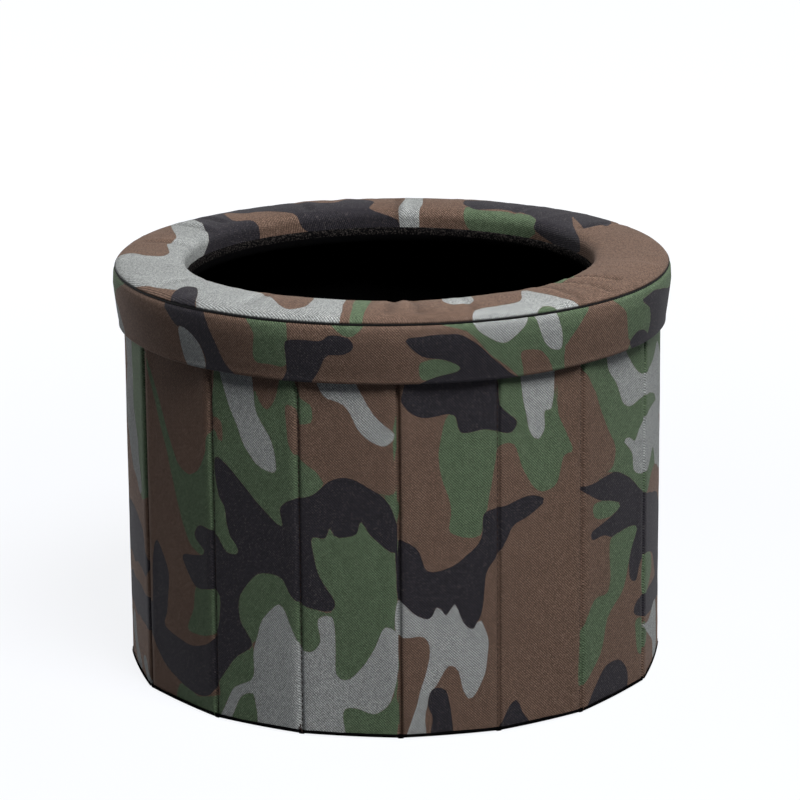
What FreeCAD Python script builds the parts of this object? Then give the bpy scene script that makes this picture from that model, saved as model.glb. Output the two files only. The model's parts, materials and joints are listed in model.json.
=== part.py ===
"""Folding camp toilet: a drum wall of stiff boards sewn in cloth, under a padded ring seat.

Millimetres, +Z up.  The origin is the middle of the drum on the ground.  Wall panel 01 stands
at the rear (+Y), and the panels are numbered clockwise seen from above.  Every wall panel is
drawn at the rear and turned about the drum's axis to its own place.  Panels are narrow (N) at
the front and rear and wide (W) at the sides, and each faces one of its own width across the
drum, so that the ring of panels presses flat.
"""
import FreeCAD, Part
import os
import Sketcher

os.makedirs("parts", exist_ok=True)
doc = FreeCAD.newDocument("camp_toilet")

# ---------------------------------------------------------------- driving dimensions
SIZES = (
    ("hinge_radius", 140.0, "drum axis to the cloth hinge between two panels"),
    ("narrow_turn", 20.7, "degrees about the axis taken by a narrow panel"),
    ("wall_height", 204.0, "ground to the top of the wall"),
    ("hinge_inset", 0.15, "cloth hinge line inside the panels' inner faces"),
    ("end_gap", 0.4, "hinge line to the end of a panel"),
    ("lining_thk", 0.5, "inner lining of the wall"),
    ("board_thk", 3.0, "stiff board in a wall panel"),
    ("cover_thk", 0.7, "outer cloth of the wall"),
    ("cover_lip", 0.5, "outer cloth turned in over the ends and top of a board"),
    ("hem_thk", 0.6, "binding outside the foot of the wall"),
    ("hem_height", 2.6, "height of that binding"),
    ("foot_thk", 0.9, "binding under the boards"),
    ("floor_thk", 1.0, "cloth floor"),
    ("floor_gap", 0.3, "cloth floor to the wall lining"),
    ("seat_gap", 0.3, "top of the wall to the seat's underside"),
    ("hole_radius", 109.6, "clear hole through the seat"),
    ("seat_lining_thk", 0.7, "lining under the seat and in its hole"),
    ("hole_lining_height", 5.4, "lining up the wall of the hole"),
    ("seat_board_thk", 3.0, "stiff ring under the seat's foam"),
    ("seat_board_inset", 0.8, "foam's outer edge to the stiff ring's"),
    ("foam_thk", 15.6, "seat foam"),
    ("foam_overhang", 3.0, "corners of the wall to the foam's outer edge"),
    ("foam_rim_radius", 7.5, "rounding of the foam round the hole"),
    ("foam_shoulder_radius", 2.8, "rounding of the foam at its outer edge"),
    ("seat_cover_thk", 0.9, "cloth over the foam"),
    ("seat_cover_fit", 0.2, "foam to the cloth beside it"),
    ("rim_fit", 0.4, "cloth in the hole to the foam and the stiff ring"),
    ("shoulder_drop", 4.6, "top of the seat down to the sewn seam"),
    ("seam_cord_radius", 0.4, "cord in the sewn seam"),
    ("seam_clearance", 0.1, "seam cord to the cloth either side"),
    ("band_thk", 1.9, "side band round the seat"),
    ("skirt_thk", 1.7, "skirt below the side band"),
    ("skirt_clearance", 1.5, "corners of the wall to the inside of the hem"),
    ("skirt_overlap", 15.4, "hem of the skirt below the top of the wall"),
    ("band_gap", 0.2, "side band to the skirt"),
)

sheet = doc.addObject("Spreadsheet::Sheet", "Sizes")
for row, (alias, number, note) in enumerate(SIZES, 1):
    sheet.set(f"A{row}", note)
    sheet.set(f"B{row}", str(number))
    sheet.setAlias(f"B{row}", alias)
doc.recompute()

# ---------------------------------------------------------------- lengths worked out from them
PANEL_KINDS = "NNWWWWNN" * 2
TURN = {"N": "Sizes.narrow_turn", "W": "(45 - Sizes.narrow_turn)"}


class Section:
    """Lengths of a panel of one kind: across its width, and out from the drum's axis."""

    def __init__(self, kind):
        half_turn = f"({TURN[kind]} * 0.5deg)"
        self.inner = f"(Sizes.hinge_radius * cos({half_turn}) + Sizes.hinge_inset)"
        self.width = f"(2 * Sizes.hinge_radius * sin({half_turn}) - 2 * Sizes.end_gap)"
        self.board_width = f"({self.width} - 2 * Sizes.cover_lip)"
        self.board_inner = f"({self.inner} + Sizes.lining_thk)"
        self.board_outer = f"({self.board_inner} + Sizes.board_thk)"
        self.cover_outer = f"({self.board_outer} + Sizes.cover_thk)"
        self.hem_outer = f"({self.cover_outer} + Sizes.hem_thk)"


SECTIONS = {kind: Section(kind) for kind in "NW"}
BOARD_TOP = "(Sizes.wall_height - Sizes.cover_lip)"
WALL_CORNER = f"sqrt(({SECTIONS['N'].width} / 2) ^ 2 + {SECTIONS['N'].cover_outer} ^ 2)"

SEAT_BASE = "(Sizes.wall_height + Sizes.seat_gap)"
SEAT_BOARD_BASE = f"({SEAT_BASE} + Sizes.seat_lining_thk)"
FOAM_BASE = f"({SEAT_BOARD_BASE} + Sizes.seat_board_thk)"
FOAM_TOP = f"({FOAM_BASE} + Sizes.foam_thk)"
SEAT_TOP = f"({FOAM_TOP} + Sizes.seat_cover_thk)"
HOLE_LINING_TOP = f"({SEAT_BASE} + Sizes.hole_lining_height)"
COVER_INNER_BASE = f"({HOLE_LINING_TOP} + Sizes.band_gap)"
COVER_INSIDE = "(Sizes.hole_radius + Sizes.seat_cover_thk)"
FOAM_INSIDE = f"({COVER_INSIDE} + Sizes.rim_fit)"
FOAM_OUTSIDE = f"({WALL_CORNER} + Sizes.foam_overhang)"
SEAT_BOARD_OUTSIDE = f"({FOAM_OUTSIDE} - Sizes.seat_board_inset)"
SHOULDER_INSIDE = f"({FOAM_OUTSIDE} + Sizes.seat_cover_fit)"
SHOULDER_OUTSIDE = f"({SHOULDER_INSIDE} + Sizes.seat_cover_thk)"
SEAM_HEIGHT = f"({SEAT_TOP} - Sizes.shoulder_drop)"
CORD_HEIGHT = f"({SEAM_HEIGHT} - Sizes.seam_clearance - Sizes.seam_cord_radius)"
BAND_TOP = f"({CORD_HEIGHT} - Sizes.seam_clearance - Sizes.seam_cord_radius)"
BAND_BASE = f"({SEAT_BASE} + Sizes.seat_board_thk / 2)"
BAND_OUTSIDE = f"({SHOULDER_INSIDE} + Sizes.band_thk)"
SKIRT_TOP = f"({BAND_BASE} - Sizes.band_gap)"
SKIRT_HEM = "(Sizes.wall_height - Sizes.skirt_overlap)"
HEM_INSIDE = f"({WALL_CORNER} + Sizes.skirt_clearance)"


def number(expression):
    """Value of an expression, in millimetres or degrees."""
    result = sheet.evalExpression(expression)
    return float(getattr(result, "Value", result))


def new_body(label):
    body = doc.addObject("PartDesign::Body", label)
    body.Label = label
    return body


def outline(body, name, plane, corners):
    """Closed sketch of straight edges through corners, each a pair of expressions."""
    sketch = body.newObject("Sketcher::SketchObject", name)
    support = [item for item in body.Origin.OriginFeatures if item.Role == plane][0]
    sketch.AttachmentSupport = [(support, "")]
    sketch.MapMode = "FlatFace"
    points = [FreeCAD.Vector(number(across), number(up), 0) for across, up in corners]
    count = len(points)
    for index in range(count):
        sketch.addGeometry(Part.LineSegment(points[index], points[(index + 1) % count]))
    for index in range(count):
        sketch.addConstraint(Sketcher.Constraint("Coincident", index, 2, (index + 1) % count, 1))
    for index in range(count):
        start, end = points[index], points[(index + 1) % count]
        if abs(start.x - end.x) < 1e-9:
            sketch.addConstraint(Sketcher.Constraint("Vertical", index))
        elif abs(start.y - end.y) < 1e-9:
            sketch.addConstraint(Sketcher.Constraint("Horizontal", index))
    for index in range(count):
        before, here = points[index - 1], points[index]
        across, up = corners[index]
        if abs(before.x - here.x) > 1e-9:
            place(sketch, "DistanceX", -2, index, here.x, across)
        if abs(before.y - here.y) > 1e-9:
            place(sketch, "DistanceY", -1, index, here.y, up)
    return sketch


def place(sketch, kind, axis, index, distance, expression):
    """Hold a corner on an axis, or at a distance from the origin bound to the sheet."""
    if abs(distance) < 1e-9:
        sketch.addConstraint(Sketcher.Constraint("PointOnObject", index, 1, axis))
        return
    if distance < 0:
        rule = Sketcher.Constraint(kind, index, 1, -1, 1, -distance)
        expression = f"-({expression})"
    else:
        rule = Sketcher.Constraint(kind, -1, 1, index, 1, distance)
    constraint = sketch.addConstraint(rule)
    sketch.setExpression(f"Constraints[{constraint}]", expression)


def rectangle(body, name, plane, left, right, low, high):
    return outline(body, name, plane, ((left, low), (right, low), (right, high), (left, high)))


def pad_across(body, sketch, width):
    """Pad a section of a panel half its width to each side."""
    pad = body.newObject("PartDesign::Pad", body.Label + "_pad")
    pad.Profile = sketch
    pad.SideType = "Symmetric"
    pad.setExpression("Length", width)
    return pad


def pocket_across(body, sketch, width):
    pocket = body.newObject("PartDesign::Pocket", body.Label + "_pocket")
    pocket.Profile = sketch
    pocket.SideType = "Symmetric"
    pocket.setExpression("Length", width)
    return pocket


def turn_before(index):
    """Turn from the middle of panel 01, clockwise, to the middle of the panel at index."""
    halves = PANEL_KINDS[:index] + PANEL_KINDS[1:index + 1]
    return " + ".join(f"{halves.count(kind)} * {TURN[kind]} / 2" for kind in "NW")


def turn_to_place(body, index):
    """Turn a panel piece about the drum's axis to its place, clockwise from the rear."""
    body.Placement = FreeCAD.Placement(
        FreeCAD.Vector(0, 0, 0), FreeCAD.Rotation(FreeCAD.Vector(0, 0, -1), 1.0))
    body.setExpression("Placement.Rotation.Angle", f"({turn_before(index)}) * 1deg")


def revolve(body, sketch):
    ring = body.newObject("PartDesign::Revolution", body.Label + "_ring")
    ring.Profile = sketch
    ring.ReferenceAxis = (sketch, ["V_Axis"])
    ring.Angle = 360.0
    return ring


def round_edges(body, base, circles, radius):
    """Fillet the full circles of base given as (radius, height) expressions."""
    doc.recompute()
    names = []
    for index, edge in enumerate(base.Shape.Edges, 1):
        if not isinstance(edge.Curve, Part.Circle):
            continue
        for across, up in circles:
            if (abs(edge.Curve.Radius - number(across)) < 1e-4
                    and abs(edge.Curve.Center.z - number(up)) < 1e-4):
                names.append(f"Edge{index}")
    if len(names) < len(circles):
        raise RuntimeError(f"{body.Label}: an edge to round is missing")
    fillet = body.newObject("PartDesign::Fillet", f"{body.Label}_round_{len(body.Group)}")
    fillet.Base = (base, names)
    fillet.setExpression("Radius", radius)
    doc.recompute()
    return fillet


# ---------------------------------------------------------------- wall panels
def wall_board(index):
    """Stiff board of one wall panel."""
    body = new_body(f"wall_board_{index + 1:02d}")
    size = SECTIONS[PANEL_KINDS[index]]
    section = rectangle(body, body.Label + "_section", "YZ_Plane",
                        size.board_inner, size.board_outer, "Sizes.foot_thk", BOARD_TOP)
    pad_across(body, section, size.board_width)
    turn_to_place(body, index)
    return body


def wall_cover(index):
    """Outer cloth of one panel: over the board's face and round its ends and top."""
    body = new_body(f"wall_cover_{index + 1:02d}")
    size = SECTIONS[PANEL_KINDS[index]]
    section = rectangle(body, body.Label + "_section", "YZ_Plane", size.board_inner,
                        size.cover_outer, "Sizes.foot_thk", "Sizes.wall_height")
    pad_across(body, section, size.width)
    room = rectangle(body, body.Label + "_room", "YZ_Plane", size.board_inner,
                     size.board_outer, "Sizes.foot_thk", BOARD_TOP)
    pocket_across(body, room, size.board_width)
    turn_to_place(body, index)
    return body


def wall_lining(index):
    """Inner cloth of one panel, with the binding that wraps the foot of the wall."""
    body = new_body(f"wall_lining_{index + 1:02d}")
    size = SECTIONS[PANEL_KINDS[index]]
    section = outline(body, body.Label + "_section", "YZ_Plane", (
        (size.inner, "0"),
        (size.hem_outer, "0"),
        (size.hem_outer, "Sizes.hem_height"),
        (size.cover_outer, "Sizes.hem_height"),
        (size.cover_outer, "Sizes.foot_thk"),
        (size.board_inner, "Sizes.foot_thk"),
        (size.board_inner, "Sizes.wall_height"),
        (size.inner, "Sizes.wall_height")))
    pad_across(body, section, size.width)
    turn_to_place(body, index)
    return body


# ---------------------------------------------------------------- cloth floor
def floor_cloth():
    """Cloth floor inside the wall, with a corner at each hinge between two panels."""
    body = new_body("floor_cloth")
    reach = "(Sizes.hinge_radius - Sizes.floor_gap)"
    corners = []
    for index, kind in enumerate(PANEL_KINDS):
        angle = f"({turn_before(index)} + {TURN[kind]} / 2) * 1deg"
        corners.append((f"{reach} * sin({angle})", f"{reach} * cos({angle})"))
    section = outline(body, "floor_cloth_outline", "XY_Plane", corners)
    pad = body.newObject("PartDesign::Pad", "floor_cloth_pad")
    pad.Profile = section
    pad.setExpression("Length", "Sizes.floor_thk")
    return body


# ---------------------------------------------------------------- ring seat
def seat_lining():
    """Lining under the seat and part of the way up its hole."""
    body = new_body("seat_lining")
    turned_up = "(Sizes.hole_radius + Sizes.seat_lining_thk)"
    section = outline(body, "seat_lining_section", "XZ_Plane", (
        ("Sizes.hole_radius", SEAT_BASE),
        (SEAT_BOARD_OUTSIDE, SEAT_BASE),
        (SEAT_BOARD_OUTSIDE, SEAT_BOARD_BASE),
        (turned_up, SEAT_BOARD_BASE),
        (turned_up, HOLE_LINING_TOP),
        ("Sizes.hole_radius", HOLE_LINING_TOP)))
    revolve(body, section)
    return body


def seat_board():
    body = new_body("seat_board")
    section = rectangle(body, "seat_board_section", "XZ_Plane",
                        FOAM_INSIDE, SEAT_BOARD_OUTSIDE, SEAT_BOARD_BASE, FOAM_BASE)
    revolve(body, section)
    return body


def seat_foam():
    """Foam ring, rounded at the hole and at the shoulder."""
    body = new_body("seat_foam")
    section = rectangle(body, "seat_foam_section", "XZ_Plane",
                        FOAM_INSIDE, FOAM_OUTSIDE, FOAM_BASE, FOAM_TOP)
    ring = revolve(body, section)
    rim = round_edges(body, ring, ((FOAM_INSIDE, FOAM_TOP),),
                      "Sizes.foam_rim_radius")
    round_edges(body, rim, ((FOAM_OUTSIDE, FOAM_TOP),),
                "Sizes.foam_shoulder_radius")
    return body


def seat_cover():
    """Top cloth: over the foam, down the hole to the lining and down the shoulder to the seam."""
    body = new_body("seat_cover")
    section = outline(body, "seat_cover_section", "XZ_Plane", (
        ("Sizes.hole_radius", COVER_INNER_BASE),
        (COVER_INSIDE, COVER_INNER_BASE),
        (COVER_INSIDE, FOAM_TOP),
        (SHOULDER_INSIDE, FOAM_TOP),
        (SHOULDER_INSIDE, SEAM_HEIGHT),
        (SHOULDER_OUTSIDE, SEAM_HEIGHT),
        (SHOULDER_OUTSIDE, SEAT_TOP),
        ("Sizes.hole_radius", SEAT_TOP)))
    ring = revolve(body, section)
    rim_inside = round_edges(body, ring, ((COVER_INSIDE, FOAM_TOP),), "Sizes.foam_rim_radius")
    rim_outside = round_edges(body, rim_inside, (("Sizes.hole_radius", SEAT_TOP),),
                              "Sizes.foam_rim_radius + Sizes.seat_cover_thk")
    shoulder = round_edges(body, rim_outside, ((SHOULDER_INSIDE, FOAM_TOP),),
                           "Sizes.foam_shoulder_radius")
    round_edges(body, shoulder, ((SHOULDER_OUTSIDE, SEAT_TOP),),
                "Sizes.foam_shoulder_radius + Sizes.seat_cover_thk")
    return body


def seat_seam():
    """Sunken cord of the seam between the top cloth and the side band."""
    cord = doc.addObject("Part::Torus", "seat_seam")
    cord.Label = "seat_seam"
    cord.setExpression("Radius1", f"{SHOULDER_INSIDE} + Sizes.seam_cord_radius")
    cord.setExpression("Radius2", "Sizes.seam_cord_radius")
    cord.setExpression("Placement.Base.z", CORD_HEIGHT)
    return cord


def seat_band():
    """Side band beside the foam, rounded on its outer edges."""
    body = new_body("seat_band")
    section = rectangle(body, "seat_band_section", "XZ_Plane", SHOULDER_INSIDE,
                        BAND_OUTSIDE, BAND_BASE, BAND_TOP)
    ring = revolve(body, section)
    round_edges(body, ring, ((BAND_OUTSIDE, BAND_TOP),), "Sizes.band_thk / 2")
    return body


def seat_skirt():
    """Soft lower part of the side band, drawn in to its hem outside the wall."""
    body = new_body("seat_skirt")
    section = outline(body, "seat_skirt_section", "XZ_Plane", (
        (HEM_INSIDE, SKIRT_HEM),
        (f"{HEM_INSIDE} + Sizes.skirt_thk", SKIRT_HEM),
        (BAND_OUTSIDE, SKIRT_TOP),
        (f"{BAND_OUTSIDE} - Sizes.skirt_thk", SKIRT_TOP)))
    revolve(body, section)
    return body


pieces = []
for panel in range(len(PANEL_KINDS)):
    pieces.append(wall_board(panel))
    pieces.append(wall_cover(panel))
    pieces.append(wall_lining(panel))
pieces.append(floor_cloth())
pieces += [seat_lining(), seat_board(), seat_foam(), seat_cover(), seat_seam(), seat_band(),
           seat_skirt()]

# ---------------------------------------------------------------- checks and files
doc.recompute()
for item in doc.Objects:
    if "Invalid" in item.State or "Error" in item.State:
        raise RuntimeError(f"{item.Name} did not rebuild: {item.State}")
for piece in pieces:
    if piece.Shape.isNull() or not piece.Shape.isValid():
        raise RuntimeError(f"{piece.Label} has no valid shape")
for piece in pieces:
    piece.Shape.exportStep(f"parts/{piece.Label}.step")
print(len(pieces), "pieces written")
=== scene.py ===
import json
import math

import bmesh
import bpy
import numpy as np
from mathutils import Matrix, Vector, noise

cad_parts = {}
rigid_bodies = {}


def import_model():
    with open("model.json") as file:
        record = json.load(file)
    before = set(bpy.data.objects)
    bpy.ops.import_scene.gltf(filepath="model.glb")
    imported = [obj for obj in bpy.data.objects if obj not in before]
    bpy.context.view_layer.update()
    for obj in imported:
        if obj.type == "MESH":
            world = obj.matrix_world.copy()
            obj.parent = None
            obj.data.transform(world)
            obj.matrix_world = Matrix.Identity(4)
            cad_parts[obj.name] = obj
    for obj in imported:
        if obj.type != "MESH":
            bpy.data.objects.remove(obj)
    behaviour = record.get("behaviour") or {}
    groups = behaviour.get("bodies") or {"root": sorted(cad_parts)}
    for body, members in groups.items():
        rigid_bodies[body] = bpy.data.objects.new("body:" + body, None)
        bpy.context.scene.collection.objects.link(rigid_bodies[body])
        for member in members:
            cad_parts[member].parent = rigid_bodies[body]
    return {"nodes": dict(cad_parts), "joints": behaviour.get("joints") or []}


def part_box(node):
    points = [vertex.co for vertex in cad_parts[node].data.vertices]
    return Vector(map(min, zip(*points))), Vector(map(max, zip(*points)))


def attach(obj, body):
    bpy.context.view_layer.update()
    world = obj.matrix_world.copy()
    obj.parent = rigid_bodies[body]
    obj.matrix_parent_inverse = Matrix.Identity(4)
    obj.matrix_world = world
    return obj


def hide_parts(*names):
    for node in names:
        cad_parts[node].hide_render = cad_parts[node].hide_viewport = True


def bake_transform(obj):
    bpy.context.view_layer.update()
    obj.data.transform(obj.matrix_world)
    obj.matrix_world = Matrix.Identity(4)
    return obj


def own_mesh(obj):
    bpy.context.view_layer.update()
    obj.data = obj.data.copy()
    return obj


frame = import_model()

bl_info = {
    "name": "Folding camp toilet",
    "version": (1, 0, 0),
    "blender": (4, 5, 0),
    "location": "View3D > Sidebar > Camp toilet",
    "description": "Cloth, padding, thread and stage of a folding camp toilet",
    "category": "Object",
}

MM = 0.001
PANELS = 16
JOIN_PANELS = (8, 9)  # the two ends of the wall are sewn together between these
JOIN_DEPTH = 2.6  # the join is sunk this many times as deep as the other seams
KNOTTED = 9  # the thread's ends are knotted at the foot of the seam after this panel
HEM_HEIGHT = 2.6 * MM  # of the lining that is turned out round the foot
LINING_THICK, FLOOR_THICK, EDGING_THICK = 0.35 * MM, 0.3 * MM, 0.5 * MM
FLOOR_EDGE, FLOOR_RISE = 0.6 * MM, 1.2 * MM  # width and height of the floor's turned-up edge
SETTLE_STEPS = 15  # of the pressure that swells the seat's cloth


# ---------------------------------------------------------------- the frame's own places
def seam_turns():
    """Clockwise turn from the rear of the cloth hinge on each side of each panel."""
    turns = {}
    for joint in frame["joints"]:
        if joint["type"] != "hinge":
            continue
        x, y, _ = joint["pos_m"]
        pair = tuple(sorted(int(joint[end].rsplit("_", 1)[1]) for end in ("parent", "child")))
        turns[pair] = math.atan2(x, y) % math.tau
    turns[JOIN_PANELS] = (turns[(1, PANELS)] + math.pi) % math.tau
    return turns


SEAM_TURNS = seam_turns()
HINGE_RADIUS = Vector(next(j["pos_m"] for j in frame["joints"] if j["type"] == "hinge")).length


def seam_after(number):
    """Clockwise turn of the hinge between a panel and the next one clockwise."""
    return SEAM_TURNS[tuple(sorted((number, number % PANELS + 1)))]


class Panel:
    """Places of one wall panel, measured as if it stood at the rear."""

    def __init__(self, number):
        self.number = number
        self.label = f"{number:02d}"
        self.body = f"wall_panel_{self.label}"
        before = seam_after((number - 2) % PANELS + 1)
        self.span = (seam_after(number) - before) % math.tau
        self.turn = before + self.span / 2
        self.place = Matrix.Rotation(-self.turn, 4, "Z")
        low, high = self.local_box(f"wall_cover_{self.label}")
        self.half_width, self.face, self.top = high.x, high.y, high.z
        self.foot = low.z
        low, high = self.local_box(f"wall_lining_{self.label}")
        self.inner, self.hem_face = low.y, high.y
        self.hem_top = HEM_HEIGHT
        low, high = self.local_box(f"wall_board_{self.label}")
        self.board_inner, self.board_face = low.y, high.y
        self.along = 0.0

    def local_box(self, node):
        """Lowest and highest corner of a node, measured as if the panel stood at the rear."""
        points = [self.place.inverted() @ v.co for v in frame["nodes"][node].data.vertices]
        return (Vector(map(min, *points)), Vector(map(max, *points)))

    @property
    def cloth_width(self):
        """Width of the cloth from the middle of one seam to the middle of the next."""
        return 2 * HINGE_RADIUS * math.sin(self.span / 2) * self.face / self.inner


def lay_out_panels():
    """All panels, each with the distance along the cloth of its middle."""
    panels = {n: Panel(n) for n in range(1, PANELS + 1)}
    along = 0.0
    for step in range(PANELS):
        panel = panels[(JOIN_PANELS[0] - 1 - step) % PANELS + 1]
        panel.along = along + panel.cloth_width / 2
        along += panel.cloth_width
    return panels, along


PANEL, CLOTH_LENGTH = lay_out_panels()
BAND_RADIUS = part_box("seat_band")[1].x
SKIRT_LOW, SKIRT_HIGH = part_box("seat_skirt")
COVER_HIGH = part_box("seat_cover")[1]
SEAT_LINING_LOW, SEAT_LINING_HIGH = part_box("seat_lining")
SEAM_LOW, SEAM_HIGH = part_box("seat_seam")
FLOOR_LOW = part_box("floor_cloth")[0]
SEAM_Z = (SEAM_LOW.z + SEAM_HIGH.z) / 2
SEAM_RADIUS = (SEAM_HIGH.x + max(v.co.x for v in frame["nodes"]["seat_seam"].data.vertices
                                 if abs(v.co.z - SEAM_HIGH.z) < 1e-5)) / 2
SEAT_LINING_INNER = min(math.hypot(v.co.x, v.co.y)
                        for v in frame["nodes"]["seat_lining"].data.vertices)
PAD_INNER = SEAT_LINING_INNER + 1.1 * MM  # the padding stands back from the hole's edging


def lip_lean(angle):
    """How far the padding leans into the hole, most on the right."""
    return 1.3 * MM * (1 + math.cos(angle - math.radians(10)))


# ---------------------------------------------------------------- printed pattern
# The print's patches, in the order they are laid on the brown ground, as an ink and points in
# millimetres: (along, up) go round a closed outline, (along, up, half width) are a brush stroke.
WALL_RIGHT = (
    ("green", ((27, 172), (21, 156), (21, 142), (27, 122), (26, 109), (42, 107), (48, 134),
               (52, 152), (61, 152), (66, 138), (76, 125), (87, 128), (91, 142), (97, 144),
               (88, 164), (84, 192), (50, 192), (44, 170))),
    ("grey", ((65, 194), (66, 176), (70, 158), (75, 153), (79, 158), (79, 167), (84, 169),
              (84, 194))),
    ("dark", ((2, 194), (2, 178), (12, 170), (28, 171), (32, 161), (44, 162), (58, 159),
              (62, 165), (53, 173), (48, 194))),
    ("dark", ((-1, 105), (9, 102), (15, 89), (30, 93), (42, 104), (44, 118), (56, 121),
              (70, 124), (80, 120), (72, 115), (60, 109), (54, 98), (45, 86), (43, 66), (38, 57),
              (33, 60), (29, 71), (24, 65), (20, 71), (15, 64), (8, 67), (-1, 75))),
    ("grey", ((-1, 74), (8, 67), (15, 64), (20, 71), (24, 65), (29, 71), (33, 60), (38, 57),
              (42, 62), (46, 48), (44, 32), (37, 19), (33, 24), (30, 36), (25, 38), (18, 26),
              (13, 14), (13, -4), (2, -4), (9, 20), (15, 42), (13, 54), (-1, 56))),
    ("dark", ((14, 18), (17, 26), (24, 25), (26, 12), (27, -4), (15, -4), (17, 10))),
    ("dark", ((51, -4), (57, 12), (63, 16), (66, 8), (72, -4))),
    ("green", ((108, 194), (114, 172), (124, 152), (133, 137), (130, 127), (116, 124),
               (140, 116), (162, 104), (184, 108), (210, 116), (222, 150), (222, 194))),
    ("grey", ((124, 194), (126, 180), (134, 171), (140, 160), (148, 156), (164, 158), (190, 153),
              (206, 140), (224, 134), (222, 164), (204, 178), (186, 172), (164, 170), (153, 175),
              (138, 192))),
    ("grey", ((141, 139), (148, 139), (153, 136), (163, 146), (190, 148), (212, 140), (224, 116),
              (214, 98), (198, 108), (188, 124), (172, 116), (153, 119), (150, 130))),
    ("brown", ((176, 107), (196, 112), (222, 100), (222, 88), (190, 96))),
    ("green", ((113, 111), (128, 110), (139, 105), (128, 101), (114, 104))),
    ("dark", ((102, 122), (118, 112), (130, 109), (139, 105), (130, 101), (112, 97), (112, 92),
              (122, 92), (134, 88), (156, 89), (148, 77), (149, 62), (156, 59), (162, 70),
              (190, 64), (202, 50), (222, 36), (226, 66), (214, 90), (186, 99), (163, 106),
              (148, 117), (134, 124), (116, 123))),
    ("green", ((129, 89), (156, 89), (149, 76), (142, 58), (126, 46), (120, 28), (102, 14),
               (103, 42), (114, 59), (126, 60), (129, 70))),
    ("dark", ((106, -4), (116, 12), (126, 20), (139, 19), (147, 9), (142, -4))),
    ("green", ((155, 36), (162, 36), (176, 26), (160, 16), (156, 24))),
    ("dark", ((153, 42), (162, 49), (200, 47), (220, 50), (224, 32), (196, 32), (164, 36))),
    ("grey", ((161, 33), (176, 30), (206, 33), (212, 10), (210, -4), (196, -4), (194, 12),
              (178, 22))),
    ("green", ((163, 70), (184, 66), (188, 56), (174, 49), (162, 50))),
)
WALL_LEFT = (
    ("green", ((-51, 190, 50), (-51, 0, 50))),
    ("brown", ((-50, 194), (-50, 180), (-44, 176), (-44, 167), (-53, 164), (-53, 150), (-42, 141),
               (-35, 132), (-16, 131), (-2, 131), (-2, 146), (-3, 164), (1, 194))),
    ("brown", ((-58, 174), (-52, 172), (-52, 150), (-56, 154))),
    ("brown", ((-78, 194), (-75, 180), (-69, 171), (-64, 178), (-61, 194))),
    ("brown", ((-102, 162), (-97, 162), (-96, 151), (-102, 150))),
    ("grey", ((-97, 194), (-95, 180), (-89, 166), (-82, 150), (-74, 141), (-64, 139), (-67, 157),
              (-75, 170), (-79, 194))),
    ("grey", ((-41, 194), (-38, 181), (-27, 176), (-20, 163), (-8, 155), (-2, 162), (-13, 173),
              (-25, 194))),
    ("green", ((-163, 188), (-150, 165), (-133, 133), (-118, 130), (-108, 142), (-107, 152),
               (-99, 153), (-99, 90), (-122, 90), (-134, 112), (-144, 140), (-156, 168))),
    ("brown", ((-134, 140), (-130, 131), (-122, 128), (-117, 133), (-118, 141))),
    ("green", ((-99, 72), (-118, 69), (-121, 56), (-127, 43), (-112, 43), (-99, 50))),
    ("green", ((-134, 12), (-118, 8), (-99, 13), (-99, -4), (-138, -4))),
    ("dark", ((-101, 142), (-95, 140), (-80, 126), (-62, 110), (-62, 120), (-56, 125), (-44, 129),
              (-36, 136), (-28, 139), (-19, 136), (-6, 127), (-1, 114), (3, 104), (-4, 100),
              (-14, 108), (-20, 117), (-22, 109), (-32, 107), (-35, 112), (-38, 106), (-45, 106),
              (-42, 88), (-33, 73), (-37, 67), (-55, 72), (-62, 83), (-76, 83), (-87, 70),
              (-87, 56), (-80, 44), (-92, 34), (-108, 12), (-122, 9), (-146, 16), (-160, 30),
              (-160, 56), (-158, 80), (-153, 85), (-144, 70), (-146, 48), (-148, 39), (-122, 35),
              (-106, 42), (-100, 56), (-101, 70), (-118, 68), (-130, 80), (-128, 84), (-110, 88),
              (-119, 96), (-114, 103), (-102, 101), (-90, 92), (-94, 106), (-101, 130))),
    ("green", ((-101, 120), (-96, 117), (-94, 104), (-88, 96), (-88, 92), (-95, 92), (-100, 101))),
    ("grey", ((-101, 0), (-95, 14), (-91, 20), (-80, 26), (-79, 42), (-74, 58), (-63, 69),
              (-56, 56), (-51, 46), (-45, 46), (-41, 52), (-42, 63), (-34, 63), (-33, 34),
              (-25, 32), (-14, 46), (-7, 60), (1, 54), (-1, 36), (-5, 20), (-13, 13), (-22, 16),
              (-30, 14), (-31, -4), (-73, -4), (-78, 10), (-80, 18), (-88, 14), (-96, -2))),
    ("green", ((-178, 186, 14), (-180, 160, 17), (-174, 135, 12), (-172, 112, 9))),
    ("grey", ((-206, 184, 12), (-201, 165, 10), (-206, 146, 15), (-192, 124, 12),
              (-180, 109, 5))),
    ("dark", ((-212, 76, 15), (-186, 76, 14), (-172, 68, 8))),
    ("dark", ((-212, 42, 10), (-184, 42, 10), (-158, 40, 9))),
    ("grey", ((-213, 22, 7), (-204, 11, 5), (-192, 4, 4))),
    ("grey", ((-178, 10, 4), (-170, 2, 4))),
)
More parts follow.
